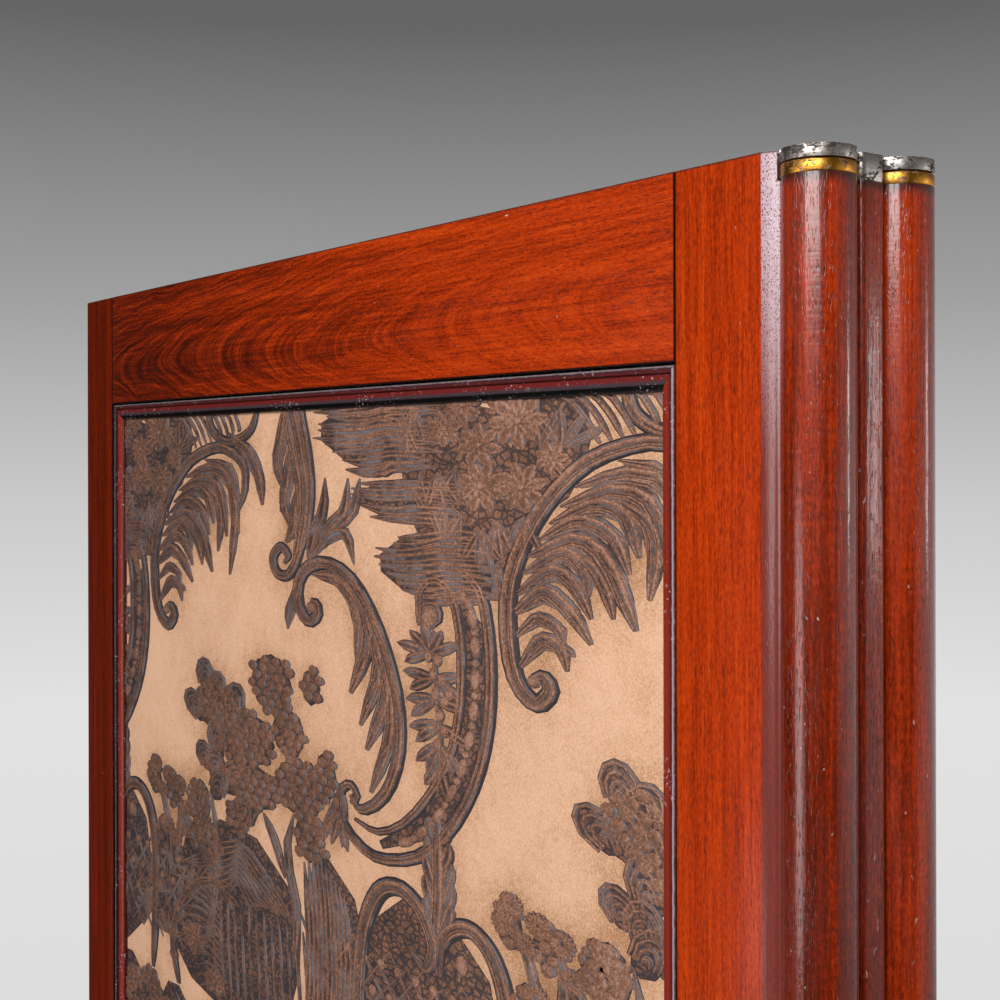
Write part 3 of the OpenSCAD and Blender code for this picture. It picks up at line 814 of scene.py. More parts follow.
def smoothPath(points, count):
    # Catmull-Rom spline through the points, taken at even steps of its length and of its turning
    p = np.array(points, float)
    p = np.concatenate([2 * p[:1] - p[1:2], p, 2 * p[-1:] - p[-2:-1]])
    t = np.linspace(0, 1, 12, endpoint=False)[None, :, None]
    a, b, c, d = p[:-3, None], p[1:-2, None], p[2:-1, None], p[3:, None]
    spline = b + 0.5 * t * (c - a + t * (2 * a - 5 * b + 4 * c - d + t * (3 * b - a - 3 * c + d)))
    dense = np.concatenate([spline.reshape(-1, 2), p[-2:-1]])
    edges = np.diff(dense, axis=0)
    way = np.unwrap(np.arctan2(edges[:, 1], edges[:, 0]))
    bend = np.abs(np.diff(way, prepend=way[0])) * ornament["turnMm"]
    reach = np.concatenate([[0], np.cumsum(np.hypot(*edges.T) + bend)])
    even = np.linspace(0, reach[-1], count)
    x = np.interp(even, reach, dense[:, 0])
    y = np.interp(even, reach, dense[:, 1])
    return x, y, np.unwrap(np.arctan2(np.gradient(y), np.gradient(x)))


def sweepStrokes(lots, kind, engraved):
    # each stroke: place + normal * (half width * bulge(t) * across + flange), with
    # bulge(t) = t^p (1 - t)^q over its greatest value, and heights that sink to the canvas at the ends
    x, y, heading, half, lift = (np.concatenate(parts)[..., None] for parts in zip(*lots))
    half, lift = half[..., None], lift[..., None]
    count = kind["steps"]
    t = np.linspace(0, 1, count)
    p, q = kind["bulge"]
    inner = np.clip(t, 0.004, 0.996)
    bulge = inner ** p * (1 - inner) ** q
    bulge = (bulge / (p / (p + q)) ** p / (q / (p + q)) ** q)[None, :, None]
    across = np.array(kind["across"], float)
    outer = np.zeros(len(across))
    outer[0], outer[-1] = -kind["flange"], kind["flange"]
    off = half * bulge * across + outer * np.sqrt(bulge)
    rise = np.minimum(1, 6 * np.minimum(t, 1 - t) + 0.25)[None, :, None]
    high = np.array(kind["highMm"]) * rise + 0 * off
    high = np.where(high > 0, high + lift, high)
    px = x - np.sin(heading) * off
    py = y + np.cos(heading) * off
    tone = np.array(kind["tone"]) + 0 * off
    lines = off if engraved else 0 * off + ornament["engraveMm"] / 2
    block = gridQuads(count, len(across))[:, ::-1]
    quads = (np.arange(len(x))[:, None, None] * count * len(across) + block).reshape(-1, 4)
    return np.stack([px, py, high], -1).reshape(-1, 3), quads, tone.ravel(), lines.ravel()


def domes(rows, look):
    # button or plate: rings at shares of its two radii, at heights from the canvas to its top
    # row: x, y, radius along, radius across, turn, height, tone
    x, y, along, wide, turn, tall, shade = np.array(rows, float).T[:, :, None, None]
    sides = look["sides"]
    angles = np.linspace(0, 2 * np.pi, sides + 1)[:-1]
    share, level, tones = (np.array(look[key])[None, :, None] for key in ("share", "level", "tone"))
    ca = np.cos(angles) * share * along
    sa = np.sin(angles) * share * wide
    turn = np.radians(turn)
    px = x + ca * np.cos(turn) - sa * np.sin(turn)
    py = y + ca * np.sin(turn) + sa * np.cos(turn)
    high = level * tall + 0 * px
    tone = tones * shade + 0 * px
    ring = np.arange(len(rows))[:, None, None] * 3 * sides + np.arange(2)[None, :, None] * sides
    a = (ring + np.arange(sides)).reshape(-1)
    b = (ring + (np.arange(sides) + 1) % sides).reshape(-1)
    quads = np.stack([a, b, b + sides, a + sides], -1)
    top = np.arange(len(rows)) * 3 * sides + 2 * sides
    corners = np.array([[0, 1, 2, 3], [0, 3, 4, 7], [4, 5, 6, 7]])
    caps = (top[None, :, None] + corners[:, None]).reshape(-1, 4)
    plain = np.full(px.size, ornament["engraveMm"] / 2)
    return np.stack([px, py, high], -1).reshape(-1, 3), np.concatenate([quads, caps]), tone.ravel(), plain


strokes = {kind: [] for kind in ornament["kinds"]}
buttons = []
chance = np.random.default_rng(7)


def addRows(kind, *columns):
    # strokes from the columns that walk reads, each a list or one value for all
    rows = np.stack(np.broadcast_arrays(*columns), 1).astype(float)
    x, y, heading = walk(rows, ornament["kinds"][kind]["steps"])
    strokes[kind].append((x, y, heading, rows[:, 6], rows[:, 7]))


def draw(kind, points, half, lift=0.0):
    # one stroke along a smooth path, given back as a finer line for what is set along it
    path = [row[None] for row in smoothPath(points, ornament["kinds"][kind]["steps"])]
    strokes[kind].append((*path, np.array([half]), np.array([lift])))
    return smoothPath(points, ornament["finePoints"])


def pointsOn(line, share):
    t = np.linspace(0, 1, ornament["finePoints"])
    x, y, heading = (np.interp(share, t, row) for row in line)
    return x, y, np.degrees(heading)


def fingers(line, side, count, first, last, lean, bend, length, half, peak=0.55):
    # leaf fingers set along a line, longest near peak; side is 1 for its left and -1 for its right
    k = np.linspace(0, 1, count)
    x, y, heading = pointsOn(line, first + (last - first) * k)
    size = np.maximum(0.35, 1 - (np.abs(k - peak) / 0.75) ** 1.6) * (1 + chance.uniform(-0.08, 0.08, count))
    addRows("blade", x, y, heading + side * lean, side * bend * (0.85 + 0.3 * k), 0, length * size,
            half * (0.55 + 0.45 * size), 0.05 + 0.02 * (np.arange(count) % 3))


def lobe(points, half, barbs=0, lift=0.06):
    # an acanthus lobe: a broad blade, a thin strand on its inner edge, and barbs on its outer edge
    first, second = np.array(points[0], float), np.array(points[1], float)
    root = first + (first - second) / np.hypot(*(first - second)) * ornament["rootMm"]
    line = draw("lobe", [root, *points], half * 1.15, lift)
    x, y, heading = pointsOn(line, np.array([0.02, 0.22, 0.45, 0.7]))
    shift = -(barbs or 1) * half * np.array([0.3, 1.0, 1.35, 1.2])
    way = np.radians(heading)
    draw("blade", np.stack([x - np.sin(way) * shift, y + np.cos(way) * shift], 1), half * 0.4, lift * 0.5)
    if barbs:
        fingers(line, barbs, 3, 0.5, 0.86, 24, -26, half * 2.8, half * 0.6, peak=0.4)


def flower(x, y, radius, petals=7, turn=0.0, lift=0.12):
    angle = turn + np.arange(petals) * 360 / petals
    for ring, (share, start, twist) in enumerate(((1.0, 0.22, 0), (0.62, 0.12, 180 / petals))):
        way = np.radians(angle + twist)
        addRows("petal", x + np.cos(way) * radius * start, y + np.sin(way) * radius * start, angle + twist,
                14, 0, radius * (share - start * 0.6), radius * share * 0.36 * 7 / petals,
                lift + 0.1 * ring)
    buttons.append([x, y, radius * 0.17, radius * 0.17, 0, 1.1, 1])


def leaves(x, y, headings, length, half=2.0, turn=12):
    # a bunch of pointed leaves from one place
    k = np.array(headings, float)
    addRows("blade", x, y, k, turn, 0, length * (1 + 0.1 * np.sin(k)), half,
            0.1 + 0.02 * (np.arange(len(k)) % 3))


def scaleTree(ovals, wide=5.4, tall=4.1):
    # foliage: overlapping scales in staggered rows wherever an oval covers them, on dark plates
    ovals = np.array(ovals, float)
    low = (ovals[:, :2] - ovals[:, 2:]).min(0)
    high = (ovals[:, :2] + ovals[:, 2:]).max(0)
    columns, rows = (int(reach) + 2 for reach in (high - low) / (wide, tall))
    j, i = np.meshgrid(np.arange(rows), np.arange(columns), indexing="ij")
    px = (low[0] + (i + 0.5 * (j % 2)) * wide).ravel()
    py = (high[1] - j * tall).ravel()
    inside = ((((px[:, None] - ovals[:, 0]) / ovals[:, 2]) ** 2
               + ((py[:, None] - ovals[:, 1]) / ovals[:, 3]) ** 2) < 0.92).any(1)
    px, py = px[inside], py[inside]
    n = len(px)
    addRows("scale", px + chance.uniform(-0.5, 0.5, n), py - 0.55 * tall, 90 + chance.uniform(-14, 14, n),
            chance.uniform(-8, 8, n), 0, 1.18 * tall + chance.uniform(-0.3, 0.3, n), 0.52 * wide, 0.22)
    buttons.extend([[x, y, rx * 0.86, ry * 0.86, 0, 0.28, -1] for x, y, rx, ry in ovals])


def ledges(first, last, tips, count, half=1.7, sag=2.0):
    # layers of rock: strokes from the side between first and last out to the line of tips
    k = np.linspace(0, 1, count)
    start = np.array(first) + np.outer(k, np.array(last) - np.array(first))
    ends = np.stack([np.interp(k, np.linspace(0, 1, len(tips)), row) for row in zip(*tips)], 1)
    for n in range(count):
        a = start[n] + chance.uniform(-3, 3, 2) * (1, 0.2)
        b = ends[n] + chance.uniform(-2.5, 2.5, 2) * (1, 0.2)
        near = a * 0.62 + b * 0.38 + (0, chance.uniform(0, sag))
        far = a * 0.3 + b * 0.7 - (0, chance.uniform(0, sag))
        draw("blade", [a, near, far, b], half * chance.uniform(0.8, 1.25), 0.1)


def shell(x, y, rx, ry, turn, rings=4):
    # nested scallops of rockwork
    buttons.append([x, y, rx * 0.85, ry * 0.85, turn, 0.3, -1])
    angle = np.radians(np.linspace(-25, 205, 7))
    way = math.radians(turn)
    for k in range(rings):
        share = 1 - 0.26 * k
        ca, sa = np.cos(angle) * rx * share, np.sin(angle) * ry * share - 0.1 * ry * k
        draw("line", np.stack([x + ca * math.cos(way) - sa * math.sin(way),
                               y + ca * math.sin(way) + sa * math.cos(way)], 1), 1.15, 0.1 + 0.04 * k)


def fan(x, y, radius, turn=90):
    # a round tuft of needles
    angle = turn + np.linspace(-165, 165, 15)
    way = np.radians(angle)
    buttons.append([x, y, radius * 0.9, radius * 0.9, 0, 0.3, -1])
    addRows("petal", x + np.cos(way) * radius * 0.15, y + np.sin(way) * radius * 0.15, angle, 0, 0,
            radius * 0.88, radius * 0.15, 0.12)


def drawPlume():
    draw("ribbon", [(-43, -104), (-39, -102.5), (-36.5, -107), (-41, -113), (-47, -109), (-51, -98),
                    (-52, -76), (-48, -58), (-39, -40), (-26, -25), (-12, -18), (0, -17), (12, -25),
                    (13, -38), (8, -49)], 3.1, 0.14)
    buttons.append([-42.5, -105, 2.4, 2.4, 0, 1.1, 1])
    for half, points in ((2.3, [(-46, -98), (-40, -89), (-33, -91), (-31, -99)]),
                         (1.8, [(-47, -87), (-41, -81), (-34, -84), (-32, -90)]),
                         (2.6, [(-48, -79), (-39, -71), (-30, -77), (-23, -88)]),
                         (2.4, [(-46, -71), (-36, -63), (-28, -68), (-23, -79)]),
                         (2.4, [(-43, -63), (-32, -56), (-25, -62), (-24, -71)]),
                         (3.0, [(-41, -57), (-28, -51), (-18, -58), (-9, -81)]),
                         (1.9, [(-31, -55), (-23, -60), (-18, -69), (-16, -78)]),
                         (2.3, [(-37, -50), (-27, -44), (-16, -49), (-11, -62)]),
                         (2.5, [(-33, -44), (-21, -38), (-12, -42), (-8, -56)]),
                         (2.6, [(-29, -38), (-16, -33), (-4, -38), (1, -62)]),
                         (2.5, [(-24, -31), (-11, -27), (3, -33), (9, -60)]),
                         (2.0, [(-14, -37), (-5, -44), (-3, -55), (-5, -70)]),
                         (2.3, [(-10, -24), (4, -28), (7, -50), (3, -81)])):
        lobe(points, half, 1)
    draw("ribbon", [(-12, 8), (-9, -7), (3, -14), (17, -8), (22, 8)], 2.2, 0.08)
    lobe([(6, -12), (16, -19), (22, -31), (24, -45)], 2.6, 1)
    lobe([(-12, 6), (2, 4), (12, 6)], 3.0)


def drawFlowers():
    for half, points in ((23, [(-78, 12), (-74, -20), (-66, -52), (-57, -74)]),
                         (13, [(-38, 10), (-36, -14), (-46, -44)]),
                         (13, [(-76, -12), (-100, -12), (-136, -10)]),
                         (8, [(-62, -40), (-90, -39), (-117, -40)]),
                         (12, [(-56, -66), (-80, -66), (-106, -67)])):
        draw("ground", points, half)
    for x, y, radius, turn in ((-48, -8, 10, 0), (-62, -33, 9.5, 20), (-47, -33, 9, 10), (-63, -17, 8, 35),
                               (-77, -10, 7, 5), (-69, -1, 7, 12), (-36, -22, 5.5, 0), (-56, 4, 7, 0)):
        flower(x, y, radius, 8 if radius > 8.5 else 7, turn)
    for x, y, headings in ((-33, -18, (20, 50, 85, 120)), (-40, -18, (60, 100, -60)),
                           (-90, 0, (-95, -80, -110, -130)), (-94, -8, (-70, -90, 160)),
                           (-80, -28, (-60, -85, -110)), (-56, -46, (-70, -88, -105)),
                           (-62, -50, (-60, -80, -100, -125)), (-70, -44, (-100, -125, 170)),
                           (-56, -62, (-80, -97)), (-46, -44, (-70, -95, -120)), (-85, -44, (95, 120, 70)),
                           (-78, -56, (80, 105, 55)), (-72, -26, (-80, -130))):
        leaves(x, y, headings, 15, 1.7)
    for k in range(9):
        draw("line", [(-36 + 5 * k, 6), (-26 + 4.4 * k, -6), (-20 + 3.6 * k, -17 + 1.0 * k)], 1.2, 0.1)
    ledges((-78, 3), (-80, -26), [(-146, 2), (-134, -4), (-141, -11), (-131, -18), (-124, -27)], 10, 2.1)
    ledges((-92, 4), (-92, -28), [(-128, 4), (-120, -10), (-112, -26)], 6, 2.0)
    ledges((-66, -34), (-68, -48), [(-116, -33), (-121, -38), (-113, -47)], 5, 2.0)
    ledges((-58, -52), (-60, -78), [(-98, -55), (-106, -61), (-108, -68), (-100, -74), (-91, -80)], 9, 2.1)
    ledges((-52, -60), (-56, -76), [(-84, -58), (-86, -76)], 4, 2.0)


def drawStem():
    for offset, half in ((0, 2.8), (-4.6, 2.2), (4.2, 2.0)):
        draw("ribbon", [(-153 + offset, 16), (-151 + offset, -2), (-147 + offset * 0.9, -20),
                        (-144.5 + offset * 0.7, -38), (-146 + offset * 0.5, -56),
                        (-150 + offset * 0.2, -70)], half, 0.1)
    draw("ribbon", [(-146, -52), (-148, -66), (-154, -77), (-161, -77), (-163.5, -70), (-159, -64.5),
                    (-154.5, -68), (-157, -72)], 2.2, 0.14)
    for points in ([(-156, 4), (-159, -12), (-161, -24), (-157, -38)],
                   [(-153, -16), (-155, -30), (-157, -42), (-154, -54)],
                   [(-147, -34), (-151, -46), (-152, -56), (-156, -62)]):
        lobe(points, 2.4, -1)
    for points in ([(-143, -74), (-141, -58), (-135, -46), (-134, -31)],
                   [(-141, -66), (-133, -54), (-124, -46), (-122, -31)],
                   [(-138, -58), (-127, -52), (-119, -44), (-116, -31)],
                   [(-141, -68), (-132, -58), (-123, -56), (-119, -69)],
                   [(-149, -80), (-151, -88), (-154, -95), (-155, -103)]):
        draw("blade", points, 2.9, 0.08)


def drawScroll():
    scroll = draw("ribbon", [(-142, -88), (-138.5, -89), (-138, -94), (-143, -97.5), (-148, -92),
                             (-149, -82), (-145, -74), (-137, -70), (-128, -71), (-119, -77), (-110, -90),
                             (-103, -106), (-98, -124), (-97, -143), (-101, -160), (-108, -171),
                             (-116, -176), (-121, -171)], 2.8, 0.14)
    buttons.append([-141.5, -91, 2.6, 2.6, 0, 1.1, 1])
    for half, points in ((2.6, [(-137, -76), (-127, -77), (-119, -86), (-118, -98)]),
                         (3.0, [(-130, -75), (-117, -84), (-112, -102), (-121, -126)]),
                         (2.6, [(-121, -80), (-111, -94), (-107, -114), (-116, -139)]),
                         (2.8, [(-115, -86), (-106, -106), (-104, -126), (-113, -149)]),
                         (2.4, [(-108, -98), (-102, -120), (-102, -142), (-111, -167)]),
                         (1.8, [(-133, -75), (-123, -80), (-117, -90), (-118, -112)])):
        lobe(points, half, -1)
    fingers(scroll, -1, 7, 0.5, 0.86, 8, -20, 16, 1.7, peak=0.5)


def drawCurl():
    # the beaded C scroll, its dark middle band and the spray inside it
    middle = [(-74, -73), (-68, -78), (-65, -90), (-64.5, -108), (-66, -128), (-71, -148), (-80, -167),
              (-92, -181), (-106, -188)]
    draw("ground", middle, 4.6)
    line = smoothPath(middle, ornament["finePoints"])
    x, y, heading = pointsOn(line, np.linspace(0.08, 0.9, 21))
    long = np.arange(21) % 2 == 0
    beads = (x, y, np.where(long, 4.6, 1.7), np.where(long, 1.9, 1.5), heading, 0.85, 1)
    buttons.extend(np.stack(np.broadcast_arrays(*beads), 1))
    draw("ribbon", [(-82, -68), (-72, -66), (-63, -73), (-59.5, -88), (-58.5, -108), (-60, -129),
                    (-65, -150), (-75, -171), (-89, -187), (-107, -194), (-119, -190), (-126.5, -181),
                    (-126, -171), (-121, -166.5), (-117.5, -171), (-121, -174.5)], 2.1, 0.12)
    draw("ribbon", [(-83, -91), (-79.5, -87), (-81, -82), (-86, -83), (-87, -90), (-87.5, -78),
                    (-82, -71.5), (-75, -75), (-71, -88), (-70, -108), (-71.5, -127), (-76, -145),
                    (-85, -162), (-96, -176), (-108, -183), (-119, -181)], 1.8, 0.12)
    buttons.append([-83.5, -87, 3.2, 5.0, 0, 1.1, 1])
    draw("line", [(-82, -92), (-81, -112), (-79, -134), (-79, -152)], 1.2, 0.1)
    for x, y, headings in ((-84, -102, (20, 55, 95, 130, 165, 200)), (-82, -112, (10, 170, 205, -30)),
                           (-81, -120, (-15, 185, 215)), (-79, -130, (190, 215, -30)),
                           (-79, -138, (215, 240, -50, -70)), (-79, -146, (230, 255, -80))):
        leaves(x, y, headings, 13, 2.2)
    for x, y in ((-84, -103), (-80, -104), (-82, -110), (-78, -112), (-81, -118), (-77, -120), (-79, -126),
                 (-75, -117), (-77, -132), (-80, -138)):
        buttons.append([x, y, 1.8, 2.6, 0, 1.0, 1])
    leaves(-125, -170, (-100, -112, -88), 26, 2.2, -6)
    leaves(-127, -180, (-125, -80), 16, 1.9, 10)


def drawTree():
    scaleTree([(-165, -131, 13, 15), (-142, -128, 5.6, 9), (-200, -147, 12, 12), (-183, -161, 21, 15),
               (-155, -152, 10, 12), (-149, -177, 15, 14), (-134, -167, 6, 12), (-177, -184, 17, 12),
               (-143, -198, 9, 12), (-246, -199, 5.5, 10), (-232, -202, 6, 9), (-212, -203, 8, 13),
               (-240, -229, 4.5, 12), (-208, -222, 14, 10), (-186, -202, 9, 9)])
    for points in ([(-152, -190), (-156, -210), (-150, -235), (-152, -262)],
                   [(-170, -195), (-163, -206), (-157, -222)],
                   [(-212, -210), (-207, -222), (-200, -236)], [(-232, -205), (-222, -214), (-214, -226)]):
        draw("blade", points, 2.4, 0.12)
    # a thatched hut on its mound, and a hanging tree beside it
    for half, points in ((40, [(-186, -208), (-188, -240), (-190, -300)]),
                         (26, [(-240, -236), (-215, -262), (-190, -300)]),
                         (13, [(-138, -204), (-128, -232), (-126, -300)])):
        draw("ground", points, half)
    for k in range(9):
        draw("line", [(-224 + 2 * k, -238), (-206 + 1.6 * k, -226 - 2.2 * k), (-186, -214 - 2.6 * k),
                      (-166 - 1.6 * k, -226 - 2.2 * k), (-152 - 2 * k, -240)], 1.3, 0.12)
    for k in range(13):
        draw("line", [(-236 + 2 * k, -244 - 4.6 * k), (-214 + k, -242 - 4.2 * k), (-196, -252 - 3.6 * k)],
             1.25, 0.1)
        draw("line", [(-202 + 4.6 * k, -243), (-202 + 4.8 * k, -266), (-200 + 4.8 * k, -296)], 1.0, 0.1)
    for k in range(10):
        x = -146 + 2.4 * k
        draw("blade", [(x, -204 - 2 * abs(k - 3)), (x + 2, -230), (x + 3, -258),
                       (x + 1, -292 + 3 * (k % 3))], 1.7, 0.08)
    for x, y in ((-244, -262), (-250, -276), (-236, -282)):
        leaves(x, y, (90, 70, 110, 50, 130, 160, 20), 12, 1.8, 0)


def drawCartouche():
    draw("ground", [(-86, -206), (-86, -240), (-86, -300)], 30)
    for half, points in ((3.3, [(-113, -306), (-117, -268), (-115, -232), (-108, -210), (-98, -203),
                                (-88, -208), (-82, -221), (-85, -231), (-91, -228)]),
                         (3.3, [(-80, -232), (-79, -219), (-73, -210), (-65, -208), (-57, -216),
                                (-52, -234), (-51, -262), (-54, -306)])):
        draw("ribbon", points, half, 0.16)
    for k in range(-6, 7):
        draw("line", [(-86 + 8 * k - 16, -232 - 4 * (k % 2)), (-86 + 8 * k, -258),
                      (-86 + 8 * k + 16, -286)], 0.8, 0.1)
        draw("line", [(-86 + 8 * k + 16, -232 - 4 * (k % 2)), (-86 + 8 * k, -258),
                      (-86 + 8 * k - 16, -286)], 0.8, 0.1)
        buttons.extend([[-86 + 8 * k + 4 * (j % 2), -252 + 13 * j, 1.8, 2.6, 0, 0.8, 1]
                        for j in range(-1, 2)])
    buttons.append([-70, -223, 2.6, 4.2, 0, 1.1, 1])
    draw("lobe", [(-80, -166), (-80, -182), (-80, -200), (-81, -218)], 3.0, 0.16)
    for y, size in ((-214, 14), (-206, 15), (-197, 14), (-188, 12), (-178, 10)):
        addRows("blade", (-81, -79), y, (128, 52), (-40, 40), 0, size, 2.4, 0.1)


def drawRocks():
    for x, y, radius in ((-51, -191, 4.6), (-54, -199, 4.6), (-41, -195, 5), (-33, -198, 5),
                         (-46, -204, 4.2), (-29, -210, 4.6), (-42, -222, 5), (-36, -228, 5),
                         (-31, -221, 4.2)):
        fan(x, y, radius)
    scaleTree([(-19, -202, 8.5, 11), (-16, -216, 6, 9)], 2.6, 3.2)
    for x, y, rx, ry, turn in ((-14, -136, 6, 9, 10), (-7, -141, 6, 9, -20), (-20, -153, 6.5, 10, 50),
                               (-12, -152, 7, 11, 10), (-5, -155, 7, 12, -10), (-6, -168, 6, 11, 10),
                               (4, -146, 7, 11, -30), (6, -163, 7, 12, -40), (-14, -178, 5.5, 8, 30),
                               (-7, -181, 6, 9, 0), (-5, -190, 6, 10, -20), (5, -184, 7, 11, -30),
                               (10, -200, 7, 12, -50)):
        shell(x, y, rx, ry, turn)
    for points in ([(-50, -196), (-44, -212), (-40, -232), (-42, -262)],
                   [(-34, -200), (-32, -216), (-36, -240)],
                   [(-10, -196), (-6, -220), (-8, -250), (-14, -280)]):
        draw("blade", points, 2.2, 0.05)
    stem = draw("ribbon", [(-34, -306), (-38, -284), (-32, -262), (-20, -246), (-6, -240), (4, -246)], 2.4,
                0.1)
    for side in (1, -1):
        fingers(stem, side, 9, 0.1, 0.95, 30, -30, 16, 2.2)
    flower(-22, -276, 8, 7, 10)
    flower(-8, -292, 7, 7, 30)


def collectPattern():
    # the strokes and buttons of one repeat, joined into two groups: points, quads, tone, across
    parts = {"scrollwork": [], "flowerwork": []}
    for kind, lots in strokes.items():
        group = "scrollwork" if kind in ornament["scrollwork"] else "flowerwork"
        parts[group].append(sweepStrokes(lots, ornament["kinds"][kind], kind in ornament["engraved"]))
    parts["flowerwork"].append(domes(buttons, ornament["dome"]))
    joined = {}
    for group, lots in parts.items():
        sizes = np.cumsum([0] + [len(lot[0]) for lot in lots])
        quads = np.concatenate([lot[1] + size for lot, size in zip(lots, sizes)])
        points, tone, across = (np.concatenate([lot[k] for lot in lots]) for k in (0, 2, 3))
        joined[group] = (points * (ornament["wide"], 1, 1), quads, tone, across)
    return joined


def repeatPattern(group, look, panel):
    # the tile is carried over the panel, quads outside the sight edge go, and the rest are cut at it
    points, quads, tone, across = group
    w, h = look["repeatMm"]
    half = np.array([panel["sightWidthMm"], panel["sightHeightMm"]]) / 2 + look["edgeMm"]
    allPoints, allQuads, values = [], [], []
    start = 0
    for i in range(-1, 3):
        for j in range(-1, 6):
            moved = points + np.array([look["topRightMm"][0] - i * w, look["topRightMm"][1] - j * h, 0])
            inside = (np.abs(moved[:, :2]) < half).all(1)
            kept = quads[inside[quads].any(1)]
            if not len(kept):
                continue
            used, renumbered = np.unique(kept, return_inverse=True)
            cut = moved[used]
            cut[:, :2] = np.clip(cut[:, :2], -half, half)
            allPoints.append(cut)
            allQuads.append(renumbered.reshape(-1, 4) + start)
            values.append(np.stack([tone[used], across[used]]))
            start += len(used)
    return np.concatenate(allPoints), np.concatenate(allQuads), np.concatenate(values, 1)


for drawPart in (drawPlume, drawFlowers, drawStem, drawScroll, drawCurl, drawTree, drawCartouche,
                 drawRocks):
    drawPart()
tile = collectPattern()
relief = {name: repeatPattern(group, ornament, panelLook) for name, group in tile.items()}
for name, (points, quads, values) in relief.items():
    print("ornament", name, "tile", len(tile[name][1]) * 2, "panel", len(quads) * 2, "triangles")

reliefLook = {
    "colours": [(0.05, (0.032, 0.024, 0.028)), (0.32, (0.062, 0.040, 0.038)), (0.60, (0.160, 0.072, 0.042)),
                (0.80, (0.260, 0.120, 0.072)), (1.0, (0.400, 0.215, 0.150))],
    "rubbed": (0.27, 0.24, 0.26),
    # painted shade: the ornament is made darker towards the left
    "paintedShadeToLeft": (0.20, -0.20, 0.10, 0.30),
}
canvasLook = {
    "cellMm": 10.0, "swellMm": 0.12, "haloMm": 7.0, "rasterMm": 2.0, "thread": 0.0011,
    "colours": [(0.10, (0.25, 0.120, 0.055)), (0.34, (0.46, 0.235, 0.118)), (0.54, (0.66, 0.375, 0.225)),
                (0.76, (0.79, 0.475, 0.305))],
    # painted light: the ground is made lighter towards the left
    "paintedLightToLeft": (0.22, -0.22, 0.0, -0.05),
}


def makeReliefMaterial(look):
    # bronze on the raised parts, slate in the grooves, fine engraved lines along each stroke and thin
    # rubbed edges. Where tone is below 0, on plain ground, small bronze leaves fill it.
    material, tree, shader = newMaterial("bronzedRelief")
    where = objectPlace(tree)
    tone = attribute(tree, "tone")
    across = attribute(tree, "across")
    patch = cloud(tree, where, 45.0, 3.0, 0.6)
    grain = cloud(tree, where, 1100.0, 3.0, 0.65)
    line = calc(tree, "ABSOLUTE", calc(tree, "SINE", times(tree, across, math.pi / ornament["engraveMm"])))
    cut = calc(tree, "MAXIMUM", between(tree, line, 0.15, 0.60), between(tree, across, 0.3, 0.9))
    leaf = put(tree, "ShaderNodeTexVoronoi", {
        "Vector": stretch(tree, where, (0.6, 1, 1), turn=(0, 0.5, 0)), "Scale": 330.0, "Randomness": 1.0},
        feature="DISTANCE_TO_EDGE").outputs[0]
    filler = times(tree, between(tree, leaf, 0.0, 0.20, 0.36, 0.78), between(tree, tone, -0.1, -0.5))
    raised = calc(tree, "MAXIMUM", times(tree, tone, summed(tree, 0.4, (cut, 0.6))), filler)
    bronze = summed(tree, raised, (patch, 0.7, 0.5), (grain, 1.3, 0.5))
    # painted shade: darker towards the left
    bronze = calc(tree, "SUBTRACT", bronze, between(tree, axesOf(tree, where)[0], *look["paintedShadeToLeft"]))
    thin = times(tree, between(tree, tone, 0.10, 0.35), between(tree, tone, 0.80, 0.45))
    silver = times(tree, thin, between(tree, cloud(tree, where, 70.0, 2.0), 0.40, 0.60, 0.0, 0.5))
    height = summed(tree, grain, (cut, 0.5), (filler, 0.8))
    colour = mixed(tree, silver, stops(tree, bronze, look["colours"]), look["rubbed"])
    setShader(tree, shader, Base_Color=colour,
              Roughness=summed(tree, 0.42, (grain, 0.3)), Normal=bumped(tree, height, 0.6, 0.0003),
              Specular_IOR_Level=0.35)
    return material


def makeCanvasMaterial(look):
    # gilded ground: gold-beige clouds, fine weave grain, dark dots, and a darker halo round the ornament
    material, tree, shader = newMaterial("gildedCanvas")
    where = objectPlace(tree)
    clouds = cloud(tree, where, 14.0, 4.0, 0.6, 0.5)
    small = cloud(tree, where, 160.0, 3.0, 0.6)
    grain = cloud(tree, where, 1500.0, 3.0, 0.7)
    x, y, z = axesOf(tree, where)
    warp, weft = (calc(tree, "SINE", times(tree, axis, 2 * math.pi / look["thread"])) for axis in (x, z))
    tone = summed(tree, -0.31, (clouds, 0.5), (small, 0.25), (grain, 1.1), (attribute(tree, "halo"), -0.40))
    # painted light: lighter towards the left
    tone = calc(tree, "SUBTRACT", tone, between(tree, x, *look["paintedLightToLeft"]))
    height = summed(tree, calc(tree, "ADD", grain, small), (times(tree, warp, weft), 0.25))
    setShader(tree, shader, Base_Color=stops(tree, tone, look["colours"]), Roughness=0.72,
              Normal=bumped(tree, height, 0.35, 0.0003), Specular_IOR_Level=0.3)
    return material


def cellsUnder(points, shape, panel, look):
    # the raster cell that each point (across, up) lies in
    size = (panel["widthMm"], panel["heightMm"])
    return tuple(np.clip(((points[..., k] + size[k] / 2) / look["rasterMm"]).astype(int), 0, shape[k] - 1)
                 for k in (0, 1))


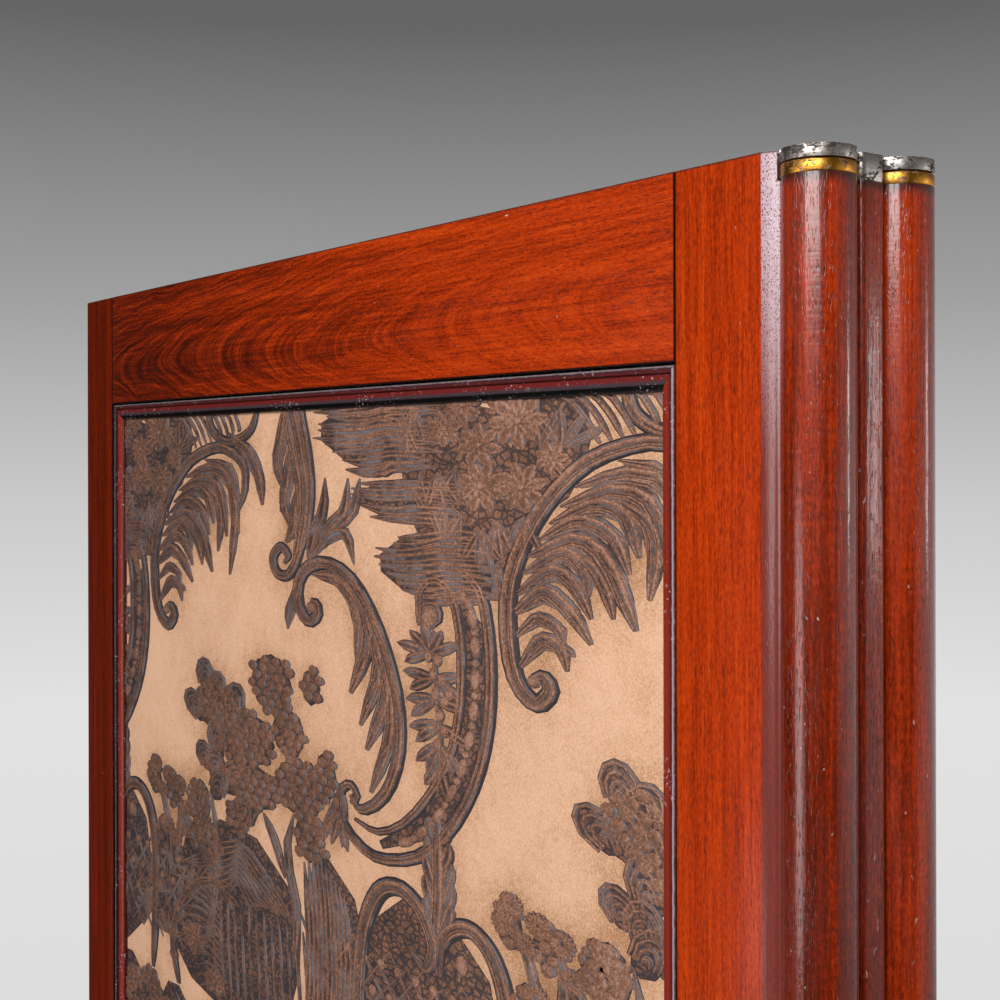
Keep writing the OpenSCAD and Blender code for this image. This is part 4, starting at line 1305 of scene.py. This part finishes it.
def haloMap(panel, look):
    # cells that hold ornament, spread by a Gaussian in the frequency plane
    cell = look["rasterMm"]
    nx = int(panel["widthMm"] / cell) + 1
    nz = int(panel["heightMm"] / cell) + 1
    filled = np.zeros((nx, nz))
    for points, quads, values in relief.values():
        filled[cellsUnder(points, filled.shape, panel, look)] = 1
    fx = np.fft.fftfreq(nx, cell)[:, None]
    fz = np.fft.rfftfreq(nz, cell)[None, :]
    soften = np.exp(-2 * (np.pi * look["haloMm"]) ** 2 * (fx ** 2 + fz ** 2))
    return np.fft.irfft2(np.fft.rfft2(filled) * soften, (nx, nz))


def canvasArrays(panel, look, halo):
    # front: a grid with out = swell * sines; back: flat rows behind it, joined round the rim
    nx = int(panel["widthMm"] / look["cellMm"]) + 1
    nz = int(panel["heightMm"] / look["cellMm"]) + 1
    x, y = np.meshgrid(np.linspace(-0.5, 0.5, nx) * panel["widthMm"],
                       np.linspace(-0.5, 0.5, nz) * panel["heightMm"], indexing="ij")
    swell = (np.sin(x * 0.021 + 1.3 * np.sin(y * 0.013)) * np.sin(y * 0.017 + 0.7)
             + 0.5 * np.sin(x * 0.057 + y * 0.043))
    rim = np.minimum(1, 6 * (0.5 - np.maximum(np.abs(x) / panel["widthMm"], np.abs(y) / panel["heightMm"])))
    out = look["swellMm"] * (0.66 * swell - 0.66) * rim
    front = np.stack([x, y, out], -1).reshape(-1, 3)
    faces = gridQuads(nx, nz).tolist()
    bottom = np.arange(nx) * nz
    right = (nx - 1) * nz + np.arange(1, nz)
    top = np.arange(nx - 2, -1, -1) * nz + nz - 1
    left = np.arange(nz - 2, 0, -1)
    loop = np.concatenate([bottom, right, top, left])
    back = front[loop].copy()
    back[:, 2] = -panel["canvasMm"]
    n = len(loop)
    base = len(front)
    ring = np.arange(n)
    after = (ring + 1) % n
    faces += np.stack([loop[ring], ring + base, after + base, loop[after]], -1).tolist()
    # back rows join the left side to the right side
    rightBack = base + nx - 1 + np.arange(nz)
    leftBack = base + (n - np.arange(nz)) % n
    faces += np.stack([leftBack[1:-2], leftBack[2:-1], rightBack[2:-1], rightBack[1:-2]], -1).tolist()
    faces.append([int(leftBack[1]), int(rightBack[1])] + (base + np.arange(nx - 1, -1, -1)).tolist())
    topBack = base + nx + nz - 2 + np.arange(nx)
    faces.append([int(rightBack[-2]), int(leftBack[-2])] + topBack[::-1].tolist())
    shade = halo[cellsUnder(front, halo.shape, panel, look)]
    return np.concatenate([front, back]), faces, np.concatenate([shade, shade[loop]])


def makePanels():
    points, faces, shade = canvasArrays(panelLook, canvasLook, haloMap(panelLook, canvasLook))
    lots = {"cloth": (points, faces, makeCanvasMaterial(canvasLook), {"halo": shade})}
    reliefMaterial = makeReliefMaterial(reliefLook)
    for part, (points, quads, (tone, across)) in relief.items():
        lots[part] = (points, quads.tolist(), reliefMaterial, {"tone": tone, "across": across})
    for leaf in leafPlan:
        for side in ("front", "back"):
            cloth, *raised = (
                makePiece(part, leaf, side, "embossed_canvas", *lot) for part, lot in lots.items())
            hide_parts(f"leaf_{leaf}_{side}_canvas")


makePanels()
print("canvases and ornament made")
